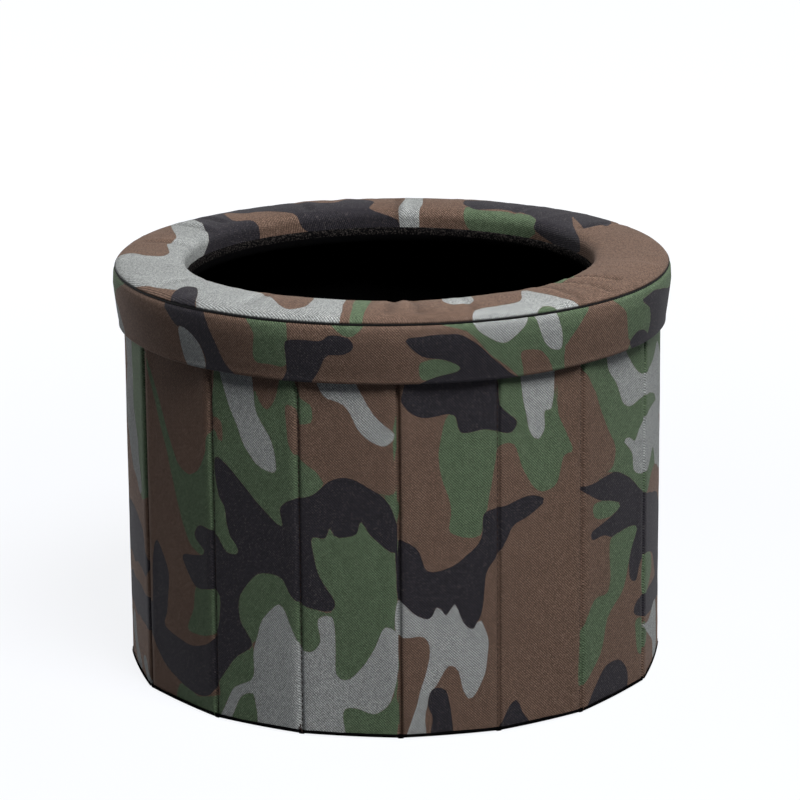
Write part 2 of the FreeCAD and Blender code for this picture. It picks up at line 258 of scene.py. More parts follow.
# The printed cloth repeats itself along its length, in millimetres.
WALL_REPEAT, BAND_REPEAT = 444, 438
BAND = (
    ("dark", ((-110, 219), (-98, 208), (-86, 204), (-80, 194), (-80, 184), (-55, 184), (-66, 192),
              (-73, 206), (-84, 222))),
    ("grey", ((-98, 208), (-91, 208), (-83, 200), (-81, 189), (-95, 189))),
    ("green", ((-54, 222), (-48, 212), (-49, 198), (-40, 197), (-31, 197), (-31, 222))),
    ("dark", ((-31, 209), (-22, 211), (-12, 211), (-7, 214), (3, 213), (5, 208), (-1, 204),
              (-9, 203), (-13, 196), (-18, 188), (-20, 184), (-36, 184), (-31, 194))),
    ("green", ((-7, 222), (-2, 215), (5, 214), (11, 222))),
    ("green", ((44, 222), (62, 215), (74, 203), (90, 190), (94, 184), (118, 184), (119, 200),
               (128, 212), (130, 222))),
    ("green", ((38, 200), (50, 202), (62, 198), (54, 193), (40, 190))),
    ("brown", ((92, 202), (103, 201), (111, 192), (110, 184), (96, 184), (93, 194))),
    ("grey", ((66, 224), (69, 214), (80, 208), (86, 209), (94, 216), (94, 224))),
    ("grey", ((98, 224), (102, 212), (108, 202), (116, 200), (116, 208), (110, 224))),
    ("dark", ((31, 212), (42, 214), (58, 214), (70, 206), (84, 193), (93, 184), (36, 184),
              (42, 191), (56, 194), (59, 197), (50, 201), (38, 204))),
    ("green", ((155, 224), (164, 210), (170, 194), (176, 184), (240, 184), (240, 224))),
    ("dark", ((172, 193), (178, 197), (188, 196), (198, 188), (186, 184), (175, 188))),
    ("dark", ((181, 214), (190, 208), (194, 200), (193, 190), (196, 182), (244, 182), (244, 205),
              (222, 211), (200, 215))),
    ("green", ((-206, 224), (-184, 223), (-160, 219), (-174, 213), (-186, 205), (-190, 192),
               (-190, 182), (-214, 182))),
    ("grey", ((-206, 203), (-182, 204), (-172, 197), (-168, 184), (-206, 180))),
)
# On the seat the two numbers are places on the flat ring, to the right and to the rear.
SEAT = (
    ("dark", ((-134, 70), (-124, 58), (-114, 40), (-102, 16), (-88, 20), (-76, 58), (-90, 70),
              (-100, 64), (-107, 76), (-112, 87), (-122, 82))),
    ("grey", ((-126, 68), (-117, 56), (-108, 34), (-98, 16), (-92, -20), (-80, -60), (-50, -88),
              (-12, -100), (-5, -116), (-4, -156), (-36, -156), (-76, -132), (-84, -112),
              (-100, -101), (-116, -89), (-132, -76), (-156, -50), (-152, -26), (-139, -21),
              (-129, -29), (-120, -30), (-118, -18), (-123, 0), (-121, 14), (-127, 32),
              (-134, 58))),
    ("brown", ((-54, -100), (-43, -116), (-37, -130), (-30, -138), (-22, -133), (-21, -118),
               (-28, -96))),
    ("dark", ((-128, 90), (-112, 86), (-98, 82), (-86, 89), (-72, 90), (-60, 84), (-34, 90),
              (-12, 98), (-12, 106), (-31, 110), (-30, 122), (-37, 129), (-48, 128), (-53, 117),
              (-68, 117), (-84, 122), (-106, 118))),
    ("grey", ((-19, 158), (-14, 130), (-15, 116), (-11, 96), (-3, 96), (-3, 128), (-8, 158))),
    ("green", ((24, 118), (32, 112), (48, 108), (66, 98), (68, 84), (50, 86), (26, 98))),
    ("dark", ((21, 134), (21, 123), (30, 113), (44, 112), (60, 103), (68, 92), (66, 84), (80, 62),
              (91, 50), (96, 54), (91, 76), (86, 96), (93, 80), (98, 71), (103, 75), (108, 73),
              (109, 88), (102, 112), (78, 138), (46, 138), (30, 134))),
    ("green", ((18, 158), (22, 142), (30, 138), (44, 158))),
    ("dark", ((-92, -98), (-85, -100), (-82, -112), (-81, -124), (-72, -138), (-92, -132),
              (-96, -112))),
    ("green", ((0, -110), (8, -110), (9, -154), (4, -154), (2, -132))),
    ("grey", ((43, -100), (56, -98), (60, -110), (57, -118), (50, -120), (45, -114))),
    ("green", ((62, -150), (76, -136), (88, -120), (100, -104), (114, -106), (104, -134))),
    ("grey", ((82, -84), (90, -90), (104, -96), (116, -98), (112, -108), (100, -107), (94, -112),
              (90, -122), (80, -136), (66, -144), (63, -128), (74, -118), (83, -108))),
    ("green", ((96, -40), (104, -41), (105, -50), (99, -62), (90, -60))),
)


# Creases drawn in by the seat's sewing: from one place to another, half width and depth.
CREASES = (
    (103, -50, 126, -52, 2.4, 1.6), (100, -62, 126, -72, 2.4, 1.3), (92, -74, 112, -92, 2.6, 1.0),
    (30, -114, 36, -134, 2.6, 1.2), (20, -114, 20, -136, 2.4, 1.0), (54, -104, 62, -124, 2.6, 0.9),
    (-108, 40, -130, 54, 2.6, 1.2), (-106, 60, -122, 74, 2.2, 0.9), (-112, 4, -134, 6, 3.0, 0.7),
    (-14, 106, -18, 132, 2.6, 1.3), (-64, 100, -74, 118, 2.6, 0.9), (-88, -76, -104, -92, 3.0, 0.7),
    (-46, -110, -52, -128, 2.6, 0.8), (96, 72, 114, 90, 2.6, 1.1), (52, 104, 62, 124, 2.4, 0.7),
)


def moved(patches, along):
    """The same patches, further along the cloth."""
    return tuple((ink, tuple((x + along, *rest) for x, *rest in points))
                 for ink, points in patches)


def wall_strokes():
    """The wall's whole print, with along from 0 to the cloth's length, repeated at the rear."""
    length = CLOTH_LENGTH / MM
    return (moved(WALL_RIGHT + WALL_LEFT, WALL_REPEAT) + WALL_RIGHT + moved(WALL_LEFT, length)
            + moved(WALL_LEFT[:6], 0) + moved(WALL_RIGHT[:6], length))


def stroke_depth(points, x, y):
    """How far inside a stroke each place lies, in millimetres."""
    best = np.full(x.shape, -99.0)
    for (ax, ay, ar), (bx, by, br) in zip(points[:-1], points[1:]):
        dx, dy = bx - ax, by - ay
        share = np.clip(((x - ax) * dx + (y - ay) * dy) / (dx * dx + dy * dy), 0, 1)
        away = np.hypot(x - ax - share * dx, y - ay - share * dy)
        best = np.maximum(best, ar + share * (br - ar) - away)
    return best


def rounded(points, cuts=4):
    """The closed smooth curve through the points of an outline."""
    curve = []
    count = len(points)
    for i in range(count):
        p, a, b, q = (np.array(points[(i + k) % count], float) for k in (-1, 0, 1, 2))
        ahead, back = (b - p) * 0.42, (q - a) * 0.42
        for t in (k / cuts for k in range(cuts)):
            curve.append(a * (2 * t ** 3 - 3 * t ** 2 + 1) + b * (3 * t ** 2 - 2 * t ** 3)
                         + ahead * (t ** 3 - 2 * t ** 2 + t) + back * (t ** 3 - t ** 2))
    return curve


def outline_depth(points, x, y):
    """How far inside an outline each place lies, in millimetres."""
    curve = rounded(points)
    (left, low), (right, high) = np.min(curve, 0) - 20, np.max(curve, 0) + 20
    near = np.nonzero((x > left) & (x < right) & (y > low) & (y < high))[0]
    px, py = x[near], y[near]
    away, inside = np.full(px.shape, 99.0), np.zeros(px.shape, bool)
    for (ax, ay), (bx, by) in zip(curve, curve[1:] + curve[:1]):
        dx, dy = bx - ax, by - ay
        share = np.clip(((px - ax) * dx + (py - ay) * dy) / (dx * dx + dy * dy), 0, 1)
        away = np.minimum(away, np.hypot(px - ax - share * dx, py - ay - share * dy))
        if dy:
            inside ^= ((ay > py) != (by > py)) & (px < ax + dx * (py - ay) / dy)
    depth = np.full(x.shape, -99.0)
    depth[near] = np.where(inside, away, -away)
    return depth


def print_on(mesh, places, patches):
    """Store how far inside each ink every point of a mesh lies, as attributes.

    A patch covers the ones before it.  Brush strokes sway more than outlines, whose own points
    already make them uneven.
    """
    stroke_sway, outline_sway = 2.8, 0.7
    x, y = np.array(places, float).T
    sway = np.array([noise.noise_vector(Vector((a / 12, b / 12, 3.7))) for a, b in places])
    inks = {ink: np.full(x.shape, -99.0) for ink in ("green", "grey", "dark")}
    for ink, points in patches:
        if len(points[0]) == 3:
            depth = stroke_depth(points, x + stroke_sway * sway[:, 0],
                                 y + stroke_sway * sway[:, 1])
        else:
            depth = outline_depth(points, x + outline_sway * sway[:, 0],
                                  y + outline_sway * sway[:, 1])
        for name in inks:
            inks[name] = (np.maximum(inks[name], depth) if name == ink
                          else np.minimum(inks[name], -depth))
    for ink, depth in inks.items():
        layer = mesh.attributes.new(ink, "FLOAT", "POINT")
        layer.data.foreach_set("value", np.clip(depth, -20, 20).astype("f"))


# ---------------------------------------------------------------- mesh helpers
def smooth_step(low, high, value):
    """0 at low and 1 at high, with a soft start and end."""
    share = min(1.0, max(0.0, (value - low) / (high - low)))
    return share * share * (3 - 2 * share)


def finish_piece(name, bm, body, materials, nodes=(), place=None):
    """Turn a bmesh into a piece of the object that rides on a body and replaces CAD nodes."""
    if place is not None:
        bm.transform(place)
    mesh = bpy.data.meshes.new(name)
    bm.to_mesh(mesh)
    bm.free()
    for material in materials:
        mesh.materials.append(material)
    mesh.shade_smooth()
    piece = bpy.data.objects.new(name, mesh)
    bpy.context.scene.collection.objects.link(piece)
    if body:
        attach(piece, body)
    if nodes:
        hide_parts(*nodes)
    return piece


def lay_cloth_map(mesh, places):
    """Lay a UV map in metres on the cloth, from a place in millimetres for each point."""
    layer = mesh.uv_layers.new(name="cloth")
    index = np.empty(len(mesh.loops), np.int32)
    mesh.loops.foreach_get("vertex_index", index)
    flat = np.array(places, np.float32)[index] * MM
    layer.data.foreach_set("uv", flat.ravel())


def strip(bm, half_width, path, across, along):
    """A grid bent along a path of (out, up) points, in the panel's own place."""
    made = bmesh.ops.create_grid(bm, x_segments=across, y_segments=along, size=0.5)
    lengths = [0.0]
    for a, b in zip(path[:-1], path[1:]):
        lengths.append(lengths[-1] + math.dist(a, b))
    for vertex in made["verts"]:
        far = (vertex.co.y + 0.5) * lengths[-1]
        out = float(np.interp(far, lengths, [p[0] for p in path]))
        up = float(np.interp(far, lengths, [p[1] for p in path]))
        vertex.co = Vector((vertex.co.x * 2 * half_width, out, up))


def revolve(bm, profile, steps):
    """Turn an open profile of (radius, height) once about the drum's axis."""
    verts = [bm.verts.new((r, 0, z)) for r, z in profile]
    edges = [bm.edges.new(pair) for pair in zip(verts[:-1], verts[1:])]
    bmesh.ops.spin(bm, geom=verts + edges, cent=(0, 0, 0), axis=(0, 0, 1),
                   angle=math.tau, steps=steps, use_merge=True, use_duplicate=False)
    bmesh.ops.remove_doubles(bm, verts=bm.verts[:], dist=1e-6)


def arc(centre, radius, start, end, steps):
    """Points of an arc in the (radius, height) plane, from start to end degrees."""
    return [(centre[0] + radius * math.cos(math.radians(start + (end - start) * i / steps)),
             centre[1] + radius * math.sin(math.radians(start + (end - start) * i / steps)))
            for i in range(steps + 1)]


def spaced(points, pitch):
    """The same line with points no further apart than pitch."""
    line = [points[0]]
    for a, b in zip(points[:-1], points[1:]):
        cuts = max(1, math.ceil(math.dist(a, b) / pitch))
        line += [(a[0] + (b[0] - a[0]) * i / cuts, a[1] + (b[1] - a[1]) * i / cuts)
                 for i in range(1, cuts + 1)]
    return line


# ---------------------------------------------------------------- materials
def linear(value):
    """An sRGB hex colour such as 5A473D as linear red, green, blue and alpha."""
    channels = [int(value[i:i + 2], 16) / 255 for i in (0, 2, 4)]
    return tuple(c / 12.92 if c <= 0.04045 else ((c + 0.055) / 1.055) ** 2.4
                 for c in channels) + (1.0,)


def add(tree, kind, settings=None, **links):
    """Add a node; a setting named in capitals is an input, and a link is (node, output)."""
    node = tree.nodes.new(kind)
    for name, value in (settings or {}).items():
        if isinstance(name, int) or name[0].isupper():
            node.inputs[name].default_value = value
        else:
            setattr(node, name, value)
    for name, (source, output) in links.items():
        key = int(name[1:]) if name[1:].isdigit() else name.replace("_", " ")
        tree.links.new(source.outputs[output], node.inputs[key])
    return node


def new_material(name):
    """A material and its node tree, still empty."""
    material = bpy.data.materials.new(name)
    material.use_nodes = True
    material.node_tree.nodes.clear()
    return material, material.node_tree


def seen_by_camera(tree):
    """A node that gives 1 to what the camera sees, also by a reflection, and 0 to lighting."""
    path = add(tree, "ShaderNodeLightPath")
    seen = add(tree, "ShaderNodeMath", {"operation": "MAXIMUM"},
               _0=(path, "Is Camera Ray"), _1=(path, "Is Glossy Ray"))
    return add(tree, "ShaderNodeMath", {"operation": "MAXIMUM"},
               _0=(seen, "Value"), _1=(path, "Is Transmission Ray"))


def close_material(tree, surface, height, strength, distance):
    """Bump, surface and output, with the surface's constants already on its own sockets."""
    bump = add(tree, "ShaderNodeBump", {"Strength": strength, "Distance": distance},
               Height=height)
    tree.links.new(bump.outputs["Normal"], surface.inputs["Normal"])
    add(tree, "ShaderNodeOutputMaterial", Surface=(surface, "BSDF"))


def band_scale(period):
    """Scale of a banded wave whose bands repeat every period metres."""
    return math.pi / (10 * period)


def weave_height(tree, coordinates, period):
    """Crossed threads of Oxford cloth, where one diagonal shows more than the other."""
    waves = []
    for turn in (-45, 45):
        turned = add(tree, "ShaderNodeMapping",
                     {"Rotation": (0, 0, math.radians(turn))}, Vector=coordinates)
        waves.append(add(tree, "ShaderNodeTexWave",
                         {"wave_type": "BANDS", "bands_direction": "X",
                          "wave_profile": "SIN", "Scale": band_scale(period),
                          "Distortion": 1.2, "Detail": 2.0, "Detail Scale": 1.5},
                         Vector=(turned, "Vector")))
    cross = add(tree, "ShaderNodeMapRange", {"To Min": 0.45, "To Max": 1.0},
                Value=(waves[1], "Fac"))
    return add(tree, "ShaderNodeMath", {"operation": "MULTIPLY"},
               _0=(waves[0], "Fac"), _1=(cross, "Result"))


def camo_oxford(cloth):
    """Printed 600-denier polyester Oxford: crisp-edged matt print over a visible weave."""
    material, tree = new_material("printed polyester Oxford cloth")
    uv = add(tree, "ShaderNodeUVMap", {"uv_map": "cloth"})
    # The edge of an ink strays by up to half a millimetre, in waves about 1.1 mm long.
    fray = add(tree, "ShaderNodeTexNoise", {"Scale": 900.0, "Detail": 2.0}, Vector=(uv, "UV"))
    colour = None
    ink_colours = (("green", cloth.green), ("grey", cloth.grey), ("dark", cloth.dark))
    for ink, value in ink_colours:
        depth = add(tree, "ShaderNodeAttribute", {"attribute_name": ink})
        edge = add(tree, "ShaderNodeMath", {"operation": "MULTIPLY_ADD", 1: 0.5},
                   _0=(fray, "Fac"), _2=(depth, "Fac"))
        cover = add(tree, "ShaderNodeMapRange",
                    {"interpolation_type": "SMOOTHSTEP", "From Min": 0.1, "From Max": 0.45},
                    Value=(edge, "Value"))
        mix = add(tree, "ShaderNodeMix", {"data_type": "RGBA", 7: linear(value)},
                  _0=(cover, "Result"))
        if colour is None:
            mix.inputs[6].default_value = linear(cloth.brown)
        else:
            tree.links.new(colour.outputs[2], mix.inputs[6])
        colour = mix
    weave = weave_height(tree, (uv, "UV"), cloth.twill)
    fibre = add(tree, "ShaderNodeTexNoise",
                {"Scale": 0.55 / cloth.thread, "Detail": 2.0, "Roughness": 0.8},
                Vector=(uv, "UV"))
    # Dye and wear differ over patches some 45 mm wide.
    fade = add(tree, "ShaderNodeTexNoise", {"Scale": 22.0, "Detail": 4.0}, Vector=(uv, "UV"))
    light = add(tree, "ShaderNodeMapRange", {"To Min": 0.5, "To Max": 1.82},
                Value=(weave, "Value"))
    speck = add(tree, "ShaderNodeMapRange",
                {"From Min": 0.35, "From Max": 0.68, "To Min": 0.84, "To Max": 1.16},
                Value=(fibre, "Fac"))
    # Each crossing of two threads takes the light in its own way.
    crossing = add(tree, "ShaderNodeVectorMath",
                   {"operation": "SNAP", 1: (cloth.thread, cloth.thread, 1.0)},
                   _0=(uv, "UV"))
    chance = add(tree, "ShaderNodeTexWhiteNoise", {"noise_dimensions": "2D"},
                 Vector=(crossing, "Vector"))
    glint = add(tree, "ShaderNodeMapRange", {"To Min": 0.66, "To Max": 1.34},
                Value=(chance, "Value"))
    speck = add(tree, "ShaderNodeMath", {"operation": "MULTIPLY"},
                _0=(speck, "Result"), _1=(glint, "Result"))
    wear_and_crease_shade = add(tree, "ShaderNodeMapRange",
               {"From Min": 0.3, "From Max": 0.7, "To Min": 0.95, "To Max": 1.06},
               Value=(fade, "Fac"))
    both = add(tree, "ShaderNodeMath", {"operation": "MULTIPLY"},
               _0=(light, "Result"), _1=(speck, "Value"))
    # Painted shade in the folds of the creases and a painted highlight on their ridges, from the
    # fold depth.
    fold = add(tree, "ShaderNodeAttribute", {"attribute_name": "fold"})
    crease_shade_and_highlight = add(tree, "ShaderNodeMapRange",
                 {"From Min": -1.0, "From Max": 1.5, "To Min": 1.22, "To Max": 0.55},
                 Value=(fold, "Fac"))
    # Random dye and wear tone, times the painted shade and highlight of the creases.
    wear_and_crease_shade = add(tree, "ShaderNodeMath", {"operation": "MULTIPLY"},
               _0=(wear_and_crease_shade, "Result"), _1=(crease_shade_and_highlight, "Result"))
    all_three = add(tree, "ShaderNodeMath", {"operation": "MULTIPLY"},
                    _0=(both, "Value"), _1=(wear_and_crease_shade, "Value"))
    shaded = add(tree, "ShaderNodeVectorMath", {"operation": "SCALE"},
                 _0=(colour, 2), Scale=(all_three, "Value"))
    # Undyed thread shows as pale specks where the print sits on top of the weave.
    bare = add(tree, "ShaderNodeMapRange",
               {"From Min": 0.9, "From Max": 1.0, "To Max": 0.12}, Value=(chance, "Value"))
    shaded = add(tree, "ShaderNodeMix", {"data_type": "RGBA", 7: linear(cloth.speck)},
                 _0=(bare, "Result"), _6=(shaded, "Vector"))
    surface = add(tree, "ShaderNodeBsdfPrincipled",
                  {"Roughness": 0.7, "IOR": 1.5, "Specular IOR Level": 0.1},
                  Base_Color=(shaded, 2))
    close_material(tree, surface, (weave, "Value"), 0.35, 0.00018)
    return material


def lining_oxford(cloth):
    """Black coated Oxford lining: nearly black, with a faint thread and a dull coating."""
    material, tree = new_material("black coated Oxford lining")
    at = add(tree, "ShaderNodeTexCoord")
    weave = add(tree, "ShaderNodeTexNoise", {"Scale": 1 / (2 * cloth.thread), "Detail": 2.0},
                Vector=(at, "Object"))
    # The coating differs over patches some 33 mm wide.
    patch = add(tree, "ShaderNodeTexNoise", {"Scale": 30.0, "Detail": 3.0},
                Vector=(at, "Object"))
    light = add(tree, "ShaderNodeMapRange", {"To Min": 0.6, "To Max": 1.4}, Value=(weave, "Fac"))
    tone = add(tree, "ShaderNodeMapRange", {"To Min": 0.85, "To Max": 1.15},
               Value=(patch, "Fac"))
    both = add(tree, "ShaderNodeMath", {"operation": "MULTIPLY"},
               _0=(light, "Result"), _1=(tone, "Result"))
    colour = add(tree, "ShaderNodeVectorMath",
                 {"operation": "SCALE", 0: linear(cloth.lining)[:3]}, Scale=(both, "Value"))
    surface = add(tree, "ShaderNodeBsdfPrincipled",
                  {"Roughness": 0.85, "IOR": 1.5, "Specular IOR Level": 0.0},
                  Base_Color=(colour, "Vector"))
    close_material(tree, surface, (weave, "Fac"), 0.4, 0.0002)
    return material


def brushed_tape(cloth):
    """Black brushed knit edging: soft grey fibre tips over black."""
    material, tree = new_material("black brushed knit")
    at = add(tree, "ShaderNodeTexCoord")
    # Tufts of the pile are about 0.9 mm apart.
    pile = add(tree, "ShaderNodeTexNoise", {"Scale": 1100.0, "Detail": 2.0, "Roughness": 0.7},
               Vector=(at, "Object"))
    tips = add(tree, "ShaderNodeMapRange", {"From Min": 0.5, "From Max": 0.66},
               Value=(pile, "Fac"))
    colour = add(tree, "ShaderNodeMix",
                 {"data_type": "RGBA", 6: linear(cloth.lining), 7: linear(cloth.pile)},
                 _0=(tips, "Result"))
    surface = add(tree, "ShaderNodeBsdfPrincipled",
                  {"Roughness": 0.95, "IOR": 1.5, "Specular IOR Level": 0.0},
                  Base_Color=(colour, 2))
    close_material(tree, surface, (pile, "Fac"), 0.8, 0.0006)
    return material


def sewing_thread(name, value):
    """Spun polyester sewing thread: matt, with a twist too fine to see but for its shading."""
    material, tree = new_material(name)
    at = add(tree, "ShaderNodeTexCoord")
    twist = add(tree, "ShaderNodeTexWave",
                {"wave_type": "BANDS", "bands_direction": "DIAGONAL",
                 "Scale": band_scale(0.0008)}, Vector=(at, "Object"))
    light = add(tree, "ShaderNodeMapRange", {"To Min": 0.6, "To Max": 1.35},
                Value=(twist, "Fac"))
    colour = add(tree, "ShaderNodeVectorMath",
                 {"operation": "SCALE", 0: linear(value)[:3]}, Scale=(light, "Result"))
    surface = add(tree, "ShaderNodeBsdfPrincipled",
                  {"Roughness": 0.7, "IOR": 1.5, "Specular IOR Level": 0.15},
                  Base_Color=(colour, "Vector"))
    close_material(tree, surface, (twist, "Fac"), 0.5, 0.0001)
    return material


def board_plastic(value):
    """Pressed recycled polypropylene board: dull dark sheet with a pebbled face."""
    material, tree = new_material("pressed polypropylene board")
    at = add(tree, "ShaderNodeTexCoord")
    # Pebbles of the pressed face are about 1.4 mm across, and it is cloudy over some 17 mm.
    pebble = add(tree, "ShaderNodeTexVoronoi", {"Scale": 700.0}, Vector=(at, "Object"))
    cloud = add(tree, "ShaderNodeTexNoise", {"Scale": 60.0, "Detail": 5.0},
                Vector=(at, "Object"))
    light = add(tree, "ShaderNodeMapRange", {"To Min": 0.75, "To Max": 1.3},
                Value=(cloud, "Fac"))
    colour = add(tree, "ShaderNodeVectorMath",
                 {"operation": "SCALE", 0: linear(value)[:3]}, Scale=(light, "Result"))
    surface = add(tree, "ShaderNodeBsdfPrincipled", {"Roughness": 0.5, "IOR": 1.49},
                  Base_Color=(colour, "Vector"))
    close_material(tree, surface, (pebble, "Distance"), 0.3, 0.0002)
    return material


MATERIALS = {}  # by short name, filled by the first operator


# ---------------------------------------------------------------- settings
def hex_property(name, description, default):
    """A setting that holds an sRGB colour of six hex digits."""
    return bpy.props.StringProperty(name=name, description=description, default=default,
                                    maxlen=6)


def length_property(name, description, default):
    """A setting that holds a length in metres."""
    return bpy.props.FloatProperty(name=name, description=description, default=default,
                                   min=0.0, subtype="DISTANCE", unit="LENGTH", precision=5)


class ClothSettings(bpy.types.PropertyGroup):
    """Colours and thread of the cloths."""
    brown: hex_property("Brown", "Ground colour of the print, sRGB hex", "705B4F")
    green: hex_property("Green", "Green of the print, sRGB hex", "5D6E56")
    grey: hex_property("Grey", "Grey of the print, sRGB hex", "A2A5A4")
    dark: hex_property("Dark", "Darkest colour of the print, sRGB hex", "2E2C31")
    speck: hex_property("Speck", "Undyed thread that shows through the print, sRGB hex", "A79C92")
    lining: hex_property("Lining", "Black lining, sRGB hex", "0B0B0C")
    pile: hex_property("Pile", "Fibre tips of the hole's edging, sRGB hex", "3D3937")
    thread_colour: hex_property("Thread", "Sewing thread of the wall, sRGB hex", "2B1D1A")
    edge_thread: hex_property("Edge thread", "Sewing thread of the seat's edge, sRGB hex",
                              "0B0B0C")
    board: hex_property("Board", "Boards inside the cloth, sRGB hex", "3C3D40")
    thread: length_property("Thread spacing", "Distance between two threads of the weave",
                            0.00056)
    # The real lines are about 0.8 mm apart, drawn a little coarser so that they show.
    twill: length_property("Diagonal pitch", "Distance between the weave's diagonal lines",
                           0.00102)


class WallSettings(bpy.types.PropertyGroup):
    """Shape of the cloth over the wall's boards."""
    pitch: length_property("Mesh pitch", "Distance between points of the cloth", 2.4 * MM)
    corner: length_property("Edge radius", "Radius of the cloth round a board's edge", 1.3 * MM)
    ridge: length_property("Ridge", "Height of the soft ridge beside a seam", 0.3 * MM)
    crown: length_property("Crown", "Height of the cloth's middle above its edges", 1.0 * MM)
    pucker: length_property("Pucker", "Height of the puckers along a seam", 0.16 * MM)
    seam_depth: length_property("Seam depth", "Depth of the sunk cloth at a seam", 0.8 * MM)
    stitch: length_property("Stitch length", "Length of one stitch in a wall seam", 2.6 * MM)


class SeatSettings(bpy.types.PropertyGroup):
    """Shape of the padded ring seat."""
    steps: bpy.props.IntProperty(name="Steps", description="Points round the seat",
                                 default=360, min=60, max=720)
    start: length_property("Start", "How far below its full height the pad starts to swell",
                           0.6 * MM)
    lip: length_property("Lip radius", "Radius of the padding where it rolls into the hole",
                         5.5 * MM)
    crown: length_property("Crown", "Height of the padding's crown", 0.8 * MM)
    wrinkle: length_property("Wrinkle", "Depth of the wrinkles in the seat cloth", 0.4 * MM)
    stitch: length_property("Stitch pitch", "Distance between stitches of the edge seam",
                            2.4 * MM)
    hem_wave: length_property("Hem wave", "Unevenness of the skirt's hem", 0.5 * MM)
    slack: bpy.props.FloatProperty(name="Slack", description="Share by which the seat cloth is "
                                   "cut larger than the pad", default=0.0, min=0.0, max=0.1)
    swell: length_property("Swell limit", "Furthest that the pressure moves the cloth", 2.5 * MM)


class StageSettings(bpy.types.PropertyGroup):
    """Camera, floor and light."""
    distance: length_property("Camera distance", "From the drum's axis", 1.910)
    height: length_property("Camera height", "Above the floor", 0.650)
    lens: bpy.props.FloatProperty(name="Lens", description="Focal length", default=164.4,
                                  subtype="DISTANCE_CAMERA")
    floor: hex_property("Floor", "Floor and backdrop, sRGB hex", "5C5E63")


class CampToiletSettings(bpy.types.PropertyGroup):
    """All settings of the camp toilet."""
    cloth: bpy.props.PointerProperty(type=ClothSettings, name="Cloth",
                                     description="Colours and thread of the cloths")
    wall: bpy.props.PointerProperty(type=WallSettings, name="Wall",
                                    description="Cloth over the wall's boards")
    seat: bpy.props.PointerProperty(type=SeatSettings, name="Seat",
                                    description="Padded ring seat")
    stage: bpy.props.PointerProperty(type=StageSettings, name="Stage",
                                     description="Camera, floor and light")


# ---------------------------------------------------------------- operators
class CAMP_OT_materials(bpy.types.Operator):
    """Make the cloths, thread and board, and put the last two on the frame's own pieces"""
    bl_idname = "camp.materials"
    bl_label = "Materials"

    def execute(self, context):
        cloth = context.scene.camp_toilet.cloth
        MATERIALS.update(
            camo=camo_oxford(cloth), lining=lining_oxford(cloth), knit=brushed_tape(cloth),
            thread=sewing_thread("brown polyester thread", cloth.thread_colour),
            seam=sewing_thread("black polyester thread", cloth.edge_thread),
            board=board_plastic(cloth.board))
        kept = {"seat_seam": "seam", "seat_board": "board"}
        kept.update({f"wall_board_{p.label}": "board" for p in PANEL.values()})
        for node, name in kept.items():
            mesh = frame["nodes"][node].data
            mesh.materials.clear()
            mesh.materials.append(MATERIALS[name])
        return {"FINISHED"}


class CAMP_OT_wall_covers(bpy.types.Operator):
    """Printed cloth over the face, sides and top of every wall board"""
    bl_idname = "camp.wall_covers"
    bl_label = "Wall covers"

    def cover(self, panel, wall):
        """Cloth over a board's face, turned round its sides and top."""
        bm = bmesh.new()
        flat = panel.half_width - wall.corner
        rise = panel.top - wall.corner
        across, up = round(2 * flat / wall.pitch), round((rise - panel.foot) / wall.pitch)
        bmesh.ops.create_grid(bm, x_segments=across, y_segments=up, size=0.5)
        for vertex in bm.verts:
            vertex.co = Vector((vertex.co.x * 2 * flat, panel.face,
                                panel.foot + (vertex.co.y + 0.5) * (rise - panel.foot)))
        rim = [e for e in bm.edges if e.is_boundary
               and max(v.co.z for v in e.verts) > panel.foot + MM / 10]
        depth = panel.face - panel.board_inner
        steps = [(wall.corner * math.sin(a), wall.corner * (1 - math.cos(a)))
                 for a in (math.pi / 8, math.pi / 4, 3 * math.pi / 8, math.pi / 2)]
        steps.append((wall.corner, depth - 0.3 * MM))
        for out, back in steps:
            grown = bmesh.ops.extrude_edge_only(bm, edges=rim)["geom"]
            rim = [g for g in grown if isinstance(g, bmesh.types.BMEdge)]
            for vertex in (g for g in grown if isinstance(g, bmesh.types.BMVert)):
                if abs(vertex.co.x) > flat - 1e-6:
                    vertex.co.x = math.copysign(flat + out, vertex.co.x)
                if vertex.co.z > rise - 1e-6:
                    vertex.co.z = rise + out
                vertex.co.y = panel.face - back
            rim = [e for e in rim if all(v.is_boundary for v in e.verts)]
        for vertex in bm.verts:
            self.swell(vertex, panel, wall)
        bmesh.ops.recalc_face_normals(bm, faces=bm.faces[:])
        middle = min(bm.faces, key=lambda f: (f.calc_center_median()
                                              - Vector((0, panel.face, rise / 2))).length)
        if middle.normal.y < 0:
            bmesh.ops.reverse_faces(bm, faces=bm.faces[:])
        return bm

    @staticmethod
    def swell(vertex, panel, wall):
        """Soft ridge and puckers beside the seams, and a slightly loose middle."""
        x, y, z = vertex.co
        edge = panel.half_width - abs(x)
        if y < panel.face - wall.corner - 1e-6:
            return
        held = smooth_step(0, 2.5 * MM, edge)
        side = math.copysign(1, x)
        ripple = noise.noise(Vector((side * 3 + panel.number * 7.3, z / (6 * MM), 0.4)))
        loose = noise.noise(Vector((x / (34 * MM), z / (60 * MM), panel.number * 5.1)))
        vertex.co.y += (wall.ridge * math.exp(-((edge - 3.6 * MM) / (2.2 * MM)) ** 2)
                        + wall.crown * (1 - (x / panel.half_width) ** 2)
                        + wall.pucker * ripple * math.exp(-edge / (5 * MM))
                        + 0.3 * MM * loose) * held

    def execute(self, context):
        wall = context.scene.camp_toilet.wall
        for panel in PANEL.values():
            bm = self.cover(panel, wall)
            places = [((panel.along - v.co.x) / MM, v.co.z / MM) for v in bm.verts]
            piece = finish_piece(f"cover_cloth_{panel.label}", bm, panel.body,
                                 [MATERIALS["camo"]], [f"wall_cover_{panel.label}"],
                                 panel.place)
            print_on(piece.data, places, wall_strokes())
            lay_cloth_map(piece.data, places)
        return {"FINISHED"}


